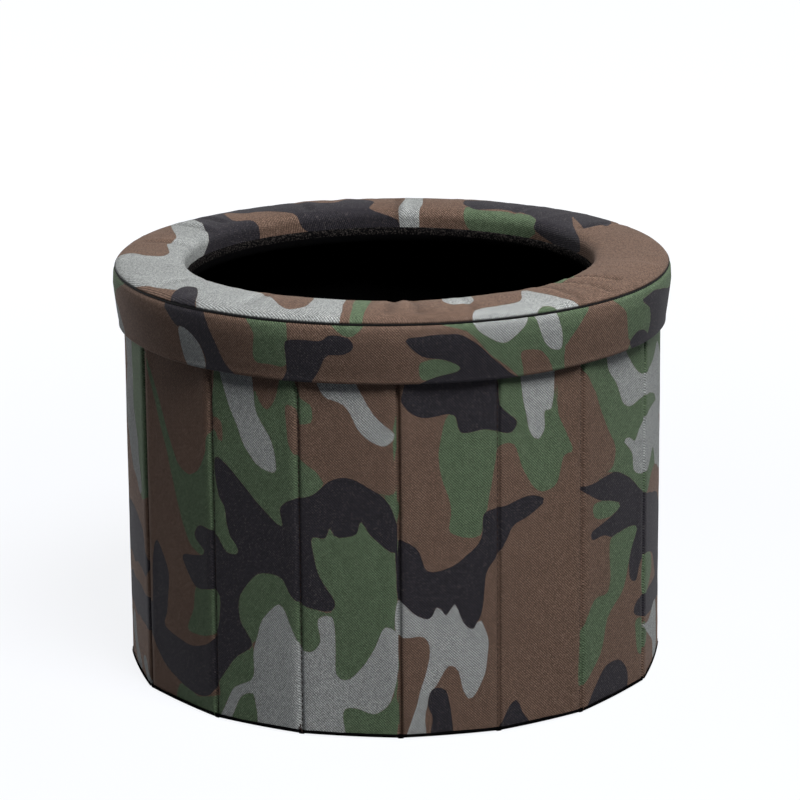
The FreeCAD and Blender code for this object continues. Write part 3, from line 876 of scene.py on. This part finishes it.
class CAMP_OT_wall_linings(bpy.types.Operator):
    """Black inner cloth of every panel, wrapped under the wall as its foot binding"""
    bl_idname = "camp.wall_linings"
    bl_label = "Wall linings"

    @staticmethod
    def path(panel):
        """(out, up) places from the lining's top, down inside and round the foot to its hem."""
        inside = panel.inner + 0.45 * MM
        turned = 1.0 * MM
        path = [(inside, panel.top - 0.3 * MM)]
        path += [(inside + turned - turned * math.cos(math.radians(a)),
                  0.3 * MM + turned - turned * math.sin(math.radians(a)))
                 for a in (0, 30, 60, 90)]
        path += [(panel.hem_face - turned + turned * math.sin(math.radians(a)),
                  0.3 * MM + turned - turned * math.cos(math.radians(a)))
                 for a in (0, 30, 60, 90)]
        path.append((panel.hem_face, panel.hem_top))
        return path

    @staticmethod
    def settle(vertex, panel, wall):
        """Uneven hem outside, and a nearly even face inside."""
        x, y, z = vertex.co
        wave = noise.noise(Vector((panel.number * 3.1, x / (12 * MM), 0.2)))
        if y > panel.board_face:
            vertex.co.y += wall.crown * (1 - (x / panel.half_width) ** 2)
        if y > panel.board_face and z > 1.0 * MM:
            vertex.co.z += 0.45 * MM * wave
            vertex.co.y += 0.2 * MM * wave
        elif y < panel.board_inner:
            vertex.co.y += 0.05 * MM * noise.noise(Vector((x, z, 0)) / (20 * MM))

    def execute(self, context):
        wall = context.scene.camp_toilet.wall
        for panel in PANEL.values():
            bm = bmesh.new()
            strip(bm, panel.half_width, self.path(panel), 16, 120)
            for vertex in bm.verts:
                self.settle(vertex, panel, wall)
            bmesh.ops.recalc_face_normals(bm, faces=bm.faces[:])
            bmesh.ops.solidify(bm, geom=bm.faces[:], thickness=LINING_THICK)
            piece = finish_piece(f"lining_cloth_{panel.label}", bm, panel.body,
                                 [MATERIALS["lining"]], [f"wall_lining_{panel.label}"],
                                 panel.place)
        return {"FINISHED"}


class CAMP_OT_wall_seams(bpy.types.Operator):
    """Sunk cloth, hinge tape and stitches of every seam between two panels"""
    bl_idname = "camp.wall_seams"
    bl_label = "Wall seams"

    @staticmethod
    def gap(panel, depth):
        """Distance from a panel's end to the plane of its seam, at a depth below its face."""
        half = panel.span / 2
        return (panel.face - depth) * math.sin(half) - panel.half_width * math.cos(half)

    @staticmethod
    def gutter(line, low, high, rows):
        """A strip of cloth from low to high, bent to an (along, out) line across a seam."""
        bm = bmesh.new()
        columns = len(line) - 1
        bmesh.ops.create_grid(bm, x_segments=columns, y_segments=rows, size=0.5)
        for vertex in bm.verts:
            x, out = line[round((vertex.co.x + 0.5) * columns)]
            vertex.co = Vector((x, out, low + (vertex.co.y + 0.5) * (high - low)))
        bmesh.ops.recalc_face_normals(bm, faces=bm.faces[:])
        if bm.faces[:][0].normal.y < 0:
            bmesh.ops.reverse_faces(bm, faces=bm.faces[:])
        return bm

    @staticmethod
    def join(piece, before, after, place, reach):
        """Fix a strip to the panel before the join where the wall is joined; elsewhere only bake
        its place into its mesh, on no body.
        """
        if (before.number, after.number) == JOIN_PANELS:
            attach(piece, before.body)
            return
        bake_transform(piece)

    @staticmethod
    def stitches(wall, out, low, high):
        """A row of stitches up a seam, each a little off its line."""
        bm = bmesh.new()
        pitch = wall.stitch + 0.7 * MM
        for step in range(int((high - low) / pitch)):
            grown = bmesh.ops.create_icosphere(bm, subdivisions=1, radius=0.5)["verts"]
            place = Matrix.Translation((0.1 * MM * math.sin(2.3 * step), out,
                                        low + (step + 0.5) * pitch))
            bmesh.ops.transform(bm, verts=grown, matrix=place @ Matrix.Diagonal(
                (0.55 * MM, 0.5 * MM, wall.stitch, 1)))
        return bm

    @staticmethod
    def knot(bm, out, low):
        """Thread ends knotted at the foot of a seam, as (degrees, mm along, mm up) of each."""
        for turn, reach, rise in ((20, 0.3, 2.4), (-50, 0.5, 1.5), (75, 0.2, 0.6),
                                  (15, -0.5, -0.6)):
            grown = bmesh.ops.create_icosphere(bm, subdivisions=1, radius=0.5)["verts"]
            bmesh.ops.transform(bm, verts=grown, matrix=Matrix.Translation(
                (reach * MM, out + 0.5 * MM, low + rise * MM))
                @ Matrix.Rotation(math.radians(turn), 4, "Y")
                @ Matrix.Diagonal((0.7 * MM, 0.9 * MM, 2.1 * MM, 1)))

    def sunk_cloth(self, name, line, before, place):
        """Printed cloth that dips between two panels."""
        bm = self.gutter(line, before.hem_top * 0.5, before.top - 0.4 * MM, 84)
        at = (before.along - before.cloth_width / 2) / MM
        places = [(at - v.co.x / MM, v.co.z / MM) for v in bm.verts]
        piece = finish_piece(name, bm, None, [MATERIALS["camo"]], place=place)
        print_on(piece.data, places, wall_strokes())
        lay_cloth_map(piece.data, places)
        return piece

    def black_strip(self, name, line, high, rows, place):
        """Lining cloth across a seam, from just above the floor up to high."""
        bm = self.gutter(line, 0.2 * MM, high, rows)
        return finish_piece(name, bm, None, [MATERIALS["lining"]], place=place)

    def execute(self, context):
        wall = context.scene.camp_toilet.wall
        for number in PANEL:
            before, after = PANEL[number], PANEL[number % PANELS + 1]
            place = Matrix.Rotation(-seam_after(number), 4, "Z")
            label = f"{before.label}_{after.label}"
            joined = (before.number, after.number) == JOIN_PANELS
            corner = math.hypot(before.half_width, before.face)
            edge, floor = wall.corner * 0.9, wall.seam_depth * (JOIN_DEPTH if joined else 1.0)
            left, right = self.gap(before, edge) + 0.2 * MM, self.gap(after, edge) + 0.2 * MM
            line = [(-left, corner - edge), (-0.45 * left, corner - edge - 0.7 * floor),
                    (0, corner - edge - floor), (0.45 * right, corner - edge - 0.7 * floor),
                    (right, corner - edge)]
            made = [self.sunk_cloth(f"seam_cloth_{label}", line, before, place)]
            inside = HINGE_RADIUS + 0.12 * MM
            line = [(-0.9 * MM, inside + 0.25 * MM), (0, inside), (0.9 * MM, inside + 0.25 * MM)]
            made.append(self.black_strip(f"hinge_cloth_{label}", line, before.top - 0.3 * MM, 40,
                                         place))
            out = corner + 0.1 * MM
            line = [(-1.5 * MM, out - 0.5 * MM), (0, out - 0.2 * MM), (1.5 * MM, out - 0.5 * MM)]
            made.append(self.black_strip(f"hem_tape_{label}", line, before.hem_top, 3, place))
            if not joined:
                bm = self.stitches(wall, corner - edge - floor + 0.1 * MM,
                                   before.hem_top, before.top - 4 * MM)
                if number == KNOTTED:
                    self.knot(bm, corner, before.hem_top)
                made.append(finish_piece(f"seam_thread_{label}", bm, None,
                                         [MATERIALS["thread"]], place=place))
            for piece in made:
                self.join(piece, before, after, place, max(left, right))
        return {"FINISHED"}


class CAMP_OT_seat_pad(bpy.types.Operator):
    """Padded ring of the seat under its printed cloth, with the thread of its edge seam"""
    bl_idname = "camp.seat_pad"
    bl_label = "Seat pad"

    @staticmethod
    def profile(seat):
        """Half section of the pad: the roll into the hole, flat top, shoulder and underside."""
        inner, top = PAD_INNER, COVER_HIGH.z - seat.start
        shoulder = (SEAM_RADIUS - 0.1 * MM, SEAM_Z + 0.8 * MM)
        under = SEAT_LINING_HIGH.z + 0.2 * MM
        line = [(inner + 1.5 * MM, under), (inner + 0.2 * MM, under + 1.5 * MM)]
        line += arc((inner + seat.lip, top - seat.lip), seat.lip, 180, 90, 8)
        line += [(inner + 15 * MM, top + seat.crown * 0.6),
                 (shoulder[0] - 12 * MM, top + seat.crown * 0.4),
                 (shoulder[0] - 6 * MM, top - 0.2 * MM), (shoulder[0] - 2.5 * MM, top - 1.3 * MM),
                 (shoulder[0] - 0.6 * MM, SEAM_Z + 1.6 * MM), shoulder,
                 (shoulder[0] - 1.2 * MM, SEAM_Z),
                 (shoulder[0] - 1.5 * MM, under), (inner + 1.5 * MM, under)]
        return spaced(line, 2.0 * MM)

    @staticmethod
    def crease_depth(x, y):
        """Depth of the sewn-in creases at a place on the seat, in metres."""
        depth = 0.0
        for ax, ay, bx, by, wide, deep in CREASES:
            dx, dy = bx - ax, by - ay
            share = min(1.0, max(0.0, ((x - ax) * dx + (y - ay) * dy) / (dx * dx + dy * dy)))
            across = ((x - ax) * dy - (y - ay) * dx) / math.hypot(dx, dy)
            away = math.hypot(x - ax - share * dx, y - ay - share * dy)
            depth += deep * (math.exp(-(away / wide) ** 2)
                             - 0.7 * math.exp(-((across - 1.7 * wide) / wide) ** 2
                                              - ((share - 0.5) / 0.45) ** 2))
        return depth * MM

    def execute(self, context):
        seat = context.scene.camp_toilet.seat
        bm = bmesh.new()
        revolve(bm, self.profile(seat), seat.steps)
        bmesh.ops.recalc_face_normals(bm, faces=bm.faces[:])
        inner, top = PAD_INNER, COVER_HIGH.z - seat.start
        bend = inner + seat.lip
        low = SEAT_LINING_HIGH.z + 2.5 * MM
        places = [self.flat_place(v.co, bend, top, seat) for v in bm.verts]
        piece = finish_piece("seat_pad", bm, "seat", [MATERIALS["camo"]],
                             ["seat_cover", "seat_foam"])
        print_on(piece.data, places, SEAT)
        lay_cloth_map(piece.data, places)
        self.inflate(piece, seat)
        folds = []
        for vertex in piece.data.vertices:
            x, y, z = vertex.co
            radius, angle = math.hypot(x, y), math.atan2(y, x)
            held = (smooth_step(low, top - 2 * MM, z)
                    * smooth_step(0, 5 * MM, SEAM_RADIUS - radius))
            streak = noise.noise(Vector((math.cos(angle) * 15, math.sin(angle) * 15,
                                         radius / (30 * MM))))
            where = smooth_step(0.05, 0.45, noise.noise(Vector((x, y, 0)) / (40 * MM)))
            swell = noise.noise(Vector((x, y, 5 * MM)) / (48 * MM))
            crease = held * self.crease_depth(x / MM, y / MM)
            folds.append(crease / MM)
            vertex.co.z += held * (seat.wrinkle * streak * (0.15 + where)
                                   + 0.6 * MM * swell) - crease
            lean = lip_lean(angle) + 0.5 * MM * noise.noise(
                Vector((math.cos(angle) * 6, math.sin(angle) * 6, 1.3)))
            push = lean * smooth_step(bend + 14 * MM, bend, radius) / radius
            vertex.co.x -= x * push
            vertex.co.y -= y * push
        # The crease depth is kept as fold, from which the cloth's material paints shade into the
        # creases and a highlight on their ridges.
        piece.data.attributes.new("fold", "FLOAT", "POINT").data.foreach_set("value", folds)
        piece.data.update()
        self.edge_stitches(seat)
        return {"FINISHED"}

    @staticmethod
    def flat_place(point, bend, top, seat):
        """Where a point of the pad lies on the flat cloth, in millimetres."""
        radius, angle = math.hypot(point.x, point.y), math.atan2(point.y, point.x)
        flat = radius
        if radius < bend and point.z < top:
            turn = math.atan2(point.z - (top - seat.lip), bend - radius)
            flat = bend - seat.lip * max(0.0, math.pi / 2 - max(0.0, turn))
            flat -= max(0.0, top - seat.lip - point.z)
        return (flat / MM * math.cos(angle), flat / MM * math.sin(angle))

    @staticmethod
    def inflate(piece, seat):
        """Let pressure swell the cloth between the seams that hold it, then keep the shape."""
        mesh, scene = piece.data, bpy.context.scene
        held = piece.vertex_groups.new(name="held")
        floor = SEAT_LINING_HIGH.z + 2.0 * MM
        held.add([v.index for v in mesh.vertices
                  if v.co.z < floor or math.hypot(v.co.x, v.co.y) > SEAM_RADIUS - 0.8 * MM],
                 1.0, "REPLACE")
        cloth = piece.modifiers.new("cloth", "CLOTH")
        cloth.settings.quality = 5
        cloth.settings.mass = 0.15
        cloth.settings.tension_stiffness = cloth.settings.compression_stiffness = 25.0
        cloth.settings.shear_stiffness = 8.0
        cloth.settings.bending_stiffness = 0.6
        cloth.settings.shrink_min = -seat.slack
        cloth.settings.use_pressure = True
        cloth.settings.uniform_pressure_force = 4.0
        cloth.settings.vertex_group_mass = "held"
        cloth.settings.effector_weights.gravity = 0.0
        cloth.collision_settings.use_collision = False
        before = np.empty(3 * len(mesh.vertices))
        mesh.vertices.foreach_get("co", before)
        for step in range(1, SETTLE_STEPS + 1):
            scene.frame_set(step)
        shape = piece.evaluated_get(bpy.context.evaluated_depsgraph_get()).data
        after = np.empty(3 * len(mesh.vertices))
        shape.vertices.foreach_get("co", after)
        move = (after - before).reshape(-1, 3)
        reach = np.linalg.norm(move, axis=1, keepdims=True)
        move *= np.minimum(1.0, seat.swell / np.maximum(reach, 1e-9))
        piece.modifiers.remove(cloth)
        piece.vertex_groups.remove(held)
        scene.frame_set(1)
        mesh.vertices.foreach_set("co", (before.reshape(-1, 3) + move).ravel())
        mesh.update()

    @staticmethod
    def edge_stitches(seat):
        """Black stitches that stand out of the seam between the pad and the band."""
        bm = bmesh.new()
        count = round(math.tau * SEAM_RADIUS / seat.stitch)
        slant = math.radians(28)
        for step in range(count):
            grown = bmesh.ops.create_icosphere(bm, subdivisions=1, radius=0.5)["verts"]
            place = (Matrix.Rotation(math.tau * step / count, 4, "Z")
                     @ Matrix.Translation((SEAM_RADIUS + 0.1 * MM, 0, SEAM_Z))
                     @ Matrix.Rotation(slant, 4, "X"))
            bmesh.ops.transform(bm, verts=grown, matrix=place @ Matrix.Diagonal(
                (0.45 * MM, 0.8 * seat.stitch, 0.5 * MM, 1)))
        finish_piece("seat_edge_thread", bm, "seat", [MATERIALS["seam"]])


class CAMP_OT_seat_skirt(bpy.types.Operator):
    """Printed band and skirt round the seat, in one piece with a folded hem"""
    bl_idname = "camp.seat_skirt"
    bl_label = "Seat band and skirt"

    def execute(self, context):
        seat = context.scene.camp_toilet.seat
        hem = SKIRT_LOW.z
        out = BAND_RADIUS
        line = [(SEAM_RADIUS - 0.7 * MM, SEAM_Z - 0.3 * MM),
                (SEAM_RADIUS + 0.2 * MM, SEAM_Z - 0.8 * MM), (out - 0.3 * MM, SEAM_Z - 2.6 * MM),
                (out, SEAM_Z - 8 * MM), (out - 0.5 * MM, SKIRT_HIGH.z + 1 * MM),
                (out - 1.6 * MM, hem + 9 * MM), (out - 2.5 * MM, hem + 3 * MM),
                (out - 2.6 * MM, hem + 0.5 * MM), (out - 3.0 * MM, hem),
                (out - 3.6 * MM, hem + 0.5 * MM), (out - 3.6 * MM, hem + 4 * MM),
                (out - 3.0 * MM, hem + 10 * MM), (out - 2.0 * MM, SKIRT_HIGH.z + 2 * MM),
                (SEAM_RADIUS - 1.0 * MM, SEAM_Z - 1.5 * MM),
                (SEAM_RADIUS - 0.7 * MM, SEAM_Z - 0.3 * MM)]
        profile = spaced(line, 2.0 * MM)
        bm = bmesh.new()
        revolve(bm, profile, seat.steps)
        bmesh.ops.recalc_face_normals(bm, faces=bm.faces[:])
        places = []
        for vertex in bm.verts:
            x, y, z = vertex.co
            theta = math.atan2(x, -y)
            places.append((theta * BAND_RADIUS / MM, z / MM))
            low = smooth_step(0, 1, (SEAM_Z - z) / (SEAM_Z - hem))
            away = noise.noise(Vector((x, y, 0)) / (50 * MM))
            fine = noise.noise(Vector((math.cos(theta) * 9, math.sin(theta) * 9, z / (25 * MM))))
            swell = 1 + (0.5 * MM * away + 0.25 * MM * fine) * low / BAND_RADIUS
            vertex.co.x *= swell
            vertex.co.y *= swell
            vertex.co.z += seat.hem_wave * low * noise.noise(
                Vector((math.cos(theta) * 2.2, math.sin(theta) * 2.2, 4.4)))
        piece = finish_piece("seat_skirt_cloth", bm, "seat", [MATERIALS["camo"]],
                             ["seat_band", "seat_skirt"])
        turn = math.tau * BAND_RADIUS / MM
        behind = moved(BAND, BAND_REPEAT)
        print_on(piece.data, places, behind + moved(behind, -turn) + BAND)
        lay_cloth_map(piece.data, places)
        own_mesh(piece)
        return {"FINISHED"}


class CAMP_OT_seat_lining(bpy.types.Operator):
    """Black brushed edging of the hole and cloth under the seat"""
    bl_idname = "camp.seat_lining"
    bl_label = "Seat lining"

    def execute(self, context):
        seat = context.scene.camp_toilet.seat
        low, rim = SEAT_LINING_LOW.z, SEAT_LINING_INNER
        outside = SEAT_LINING_HIGH.x
        line = [(outside, low), (rim + 3 * MM, low), (rim + 0.8 * MM, low + 0.6 * MM),
                (rim, low + 2 * MM), (rim + 0.1 * MM, SEAT_LINING_HIGH.z),
                (rim + 0.4 * MM, SEAT_LINING_HIGH.z + 2.6 * MM),
                (rim + 1.2 * MM, SEAT_LINING_HIGH.z + 3.6 * MM)]
        bm = bmesh.new()
        revolve(bm, spaced(line, 1.5 * MM), seat.steps)
        bmesh.ops.recalc_face_normals(bm, faces=bm.faces[:])
        for vertex in bm.verts:
            x, y, z = vertex.co
            lean = (lip_lean(math.atan2(y, x)) * smooth_step(low, SEAT_LINING_HIGH.z, z)
                    * smooth_step(rim + 3 * MM, rim + 1.2 * MM, math.hypot(x, y)))
            push = 1 + (0.35 * MM * noise.noise(Vector((x, y, z)) / (5 * MM)) - lean) / rim
            vertex.co.x *= push
            vertex.co.y *= push
        bmesh.ops.solidify(bm, geom=bm.faces[:], thickness=EDGING_THICK)
        for face in bm.faces:
            face.material_index = face.calc_center_median().z < SEAT_LINING_HIGH.z + 0.6 * MM
        piece = finish_piece("seat_lining_cloth", bm, "seat",
                             [MATERIALS["knit"], MATERIALS["lining"]], ["seat_lining"])
        return {"FINISHED"}


class CAMP_OT_floor_cloth(bpy.types.Operator):
    """Black cloth floor inside the wall"""
    bl_idname = "camp.floor_cloth"
    bl_label = "Floor cloth"

    def execute(self, context):
        bm = bmesh.new()
        reach = HINGE_RADIUS
        bmesh.ops.create_grid(bm, x_segments=56, y_segments=56, size=reach)
        walls = [(panel.place @ Vector((0, 1, 0)), panel.inner + 0.3 * MM)
                 for panel in PANEL.values()]
        for normal, out in walls:
            for reach_in in (FLOOR_EDGE, 0.0):
                bmesh.ops.bisect_plane(bm, geom=bm.verts[:] + bm.edges[:] + bm.faces[:],
                                       plane_co=normal * (out - reach_in), plane_no=normal,
                                       clear_outer=reach_in == 0.0)
        for vertex in bm.verts:
            x, y, _ = vertex.co
            turned_up = max(smooth_step(out - FLOOR_EDGE, out, vertex.co.dot(normal))
                            for normal, out in walls)
            vertex.co.z = (FLOOR_LOW.z + 0.35 * MM + FLOOR_RISE * turned_up
                           + 0.5 * MM * abs(noise.noise(Vector((x, y, 0)) / (38 * MM))))
        bmesh.ops.recalc_face_normals(bm, faces=bm.faces[:])
        bmesh.ops.solidify(bm, geom=bm.faces[:], thickness=FLOOR_THICK)
        piece = finish_piece("floor_cloth_sheet", bm, "wall_panel_01",
                             [MATERIALS["lining"]], ["floor_cloth"])
        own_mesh(piece)
        return {"FINISHED"}


# The camera's turn round the drum from the front, then its aim, all in degrees.
CAMERA_AROUND, CAMERA_DOWN, CAMERA_YAW, CAMERA_ROLL = 9.44, 14.907, 9.33, -0.497
# Name, place, diameter in metres and power in watts of each round lamp, and where they all point.
LAMPS = (("key light", (0.65, -0.92, 1.98), 1.0, 54.0),
         ("left fill", (-2.3, 1.6, 0.9), 0.8, 13.0),
         ("right fill", (2.1, 1.9, 0.9), 0.8, 11.0))
LIT_PLACE = Vector((0, 0, 0.12))


class CAMP_OT_stage(bpy.types.Operator):
    """Pale floor, soft studio light and camera"""
    bl_idname = "camp.stage"
    bl_label = "Stage"

    def execute(self, context):
        stage = context.scene.camp_toilet.stage
        scene = context.scene
        scene.view_settings.view_transform = "Standard"
        self.camera(scene, stage)
        self.floor(stage)
        self.world(scene)
        for name, place, size, power in LAMPS:
            self.lamp(name, place, size, power)
        return {"FINISHED"}

    @staticmethod
    def camera(scene, stage):
        """A long lens in front, a little to the right and above."""
        camera = bpy.data.objects.new("camera", bpy.data.cameras.new("camera"))
        scene.collection.objects.link(camera)
        around = math.radians(CAMERA_AROUND)
        camera.location = (stage.distance * math.sin(around),
                           -stage.distance * math.cos(around), stage.height)
        down, yaw, roll = map(math.radians, (CAMERA_DOWN, CAMERA_YAW, CAMERA_ROLL))
        camera.rotation_euler = (Matrix.Rotation(yaw, 3, "Z")
                                 @ Matrix.Rotation(math.pi / 2 - down, 3, "X")
                                 @ Matrix.Rotation(roll, 3, "Z")).to_euler()
        camera.data.lens = stage.lens
        camera.data.sensor_width = 36.0
        camera.data.clip_start, camera.data.clip_end = 0.05, 50.0
        scene.camera = camera

    @staticmethod
    def floor(stage):
        """Pale studio floor: white to the eye, with a soft shadow, and grey to the lamps."""
        bm = bmesh.new()
        bmesh.ops.create_grid(bm, x_segments=8, y_segments=8, size=6.0)
        mesh = bpy.data.meshes.new("floor")
        bm.to_mesh(mesh)
        bm.free()
        floor = bpy.data.objects.new("floor", mesh)
        bpy.context.scene.collection.objects.link(floor)
        material, tree = new_material("pale studio floor")
        seen = seen_by_camera(tree)
        at = add(tree, "ShaderNodeTexCoord")
        away = add(tree, "ShaderNodeVectorMath", {"operation": "LENGTH"}, _0=(at, "Object"))
        fade = add(tree, "ShaderNodeMapRange",
                   {"From Min": 0.35, "From Max": 1.1, "To Min": 0.9, "To Max": 0.99},
                   Value=(away, "Value"))
        lift = add(tree, "ShaderNodeMath", {"operation": "MULTIPLY"},
                   _0=(seen, "Value"), _1=(fade, "Result"))
        diffuse = add(tree, "ShaderNodeBsdfDiffuse", {"Color": linear(stage.floor)})
        glow = add(tree, "ShaderNodeEmission", {"Color": (0.97, 0.98, 1.0, 1.0)},
                   Strength=(lift, "Value"))
        both = add(tree, "ShaderNodeAddShader", _0=(diffuse, "BSDF"), _1=(glow, "Emission"))
        add(tree, "ShaderNodeOutputMaterial", Surface=(both, "Shader"))
        mesh.materials.append(material)

    @staticmethod
    def world(scene):
        """Backdrop that the camera sees as white, and that lights the drum very little."""
        world = bpy.data.worlds.new("studio")
        world.use_nodes = True
        tree = world.node_tree
        tree.nodes.clear()
        seen = seen_by_camera(tree)
        strength = add(tree, "ShaderNodeMapRange", {"To Min": 0.01, "To Max": 1.0},
                       Value=(seen, "Value"))
        sky = add(tree, "ShaderNodeBackground", {"Color": (1.0, 1.0, 1.0, 1.0)},
                  Strength=(strength, "Result"))
        add(tree, "ShaderNodeOutputWorld", Surface=(sky, "Background"))
        scene.world = world

    @staticmethod
    def lamp(name, place, size, power):
        """A round soft lamp that the camera doesn't see."""
        light = bpy.data.lights.new(name, "AREA")
        light.shape, light.size, light.energy = "DISK", size, power
        lamp = bpy.data.objects.new(name, light)
        lamp.location = place
        lamp.visible_camera = False
        aim = LIT_PLACE - Vector(place)
        lamp.rotation_euler = aim.to_track_quat("-Z", "Y").to_euler()
        bpy.context.scene.collection.objects.link(lamp)


OPERATORS = (CAMP_OT_materials, CAMP_OT_wall_seams, CAMP_OT_wall_covers, CAMP_OT_wall_linings,
             CAMP_OT_seat_pad, CAMP_OT_seat_skirt, CAMP_OT_seat_lining, CAMP_OT_floor_cloth,
             CAMP_OT_stage)


class CAMP_PT_panel(bpy.types.Panel):
    """Pieces of the camp toilet"""
    bl_idname = "CAMP_PT_panel"
    bl_label = "Camp toilet"
    bl_space_type = "VIEW_3D"
    bl_region_type = "UI"
    bl_category = "Camp toilet"

    def draw(self, context):
        for operator in OPERATORS:
            self.layout.operator(operator.bl_idname)
        settings = context.scene.camp_toilet
        for group in (settings.cloth, settings.wall, settings.seat, settings.stage):
            box = self.layout.box()
            for name in group.bl_rna.properties.keys():
                if name not in ("name", "rna_type"):
                    box.prop(group, name)


CLASSES = (ClothSettings, WallSettings, SeatSettings, StageSettings, CampToiletSettings,
           *OPERATORS, CAMP_PT_panel)


def register():
    """Register the classes, and give every scene the camp toilet's settings."""
    for cls in CLASSES:
        bpy.utils.register_class(cls)
    bpy.types.Scene.camp_toilet = bpy.props.PointerProperty(type=CampToiletSettings)


def unregister():
    """Take the settings and the classes away again."""
    del bpy.types.Scene.camp_toilet
    for cls in reversed(CLASSES):
        bpy.utils.unregister_class(cls)


def main():
    """Make every piece in turn."""
    register()
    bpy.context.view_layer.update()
    for operator in OPERATORS:
        group, name = operator.bl_idname.split(".")
        getattr(getattr(bpy.ops, group), name)()


if __name__ == "__main__":
    main()
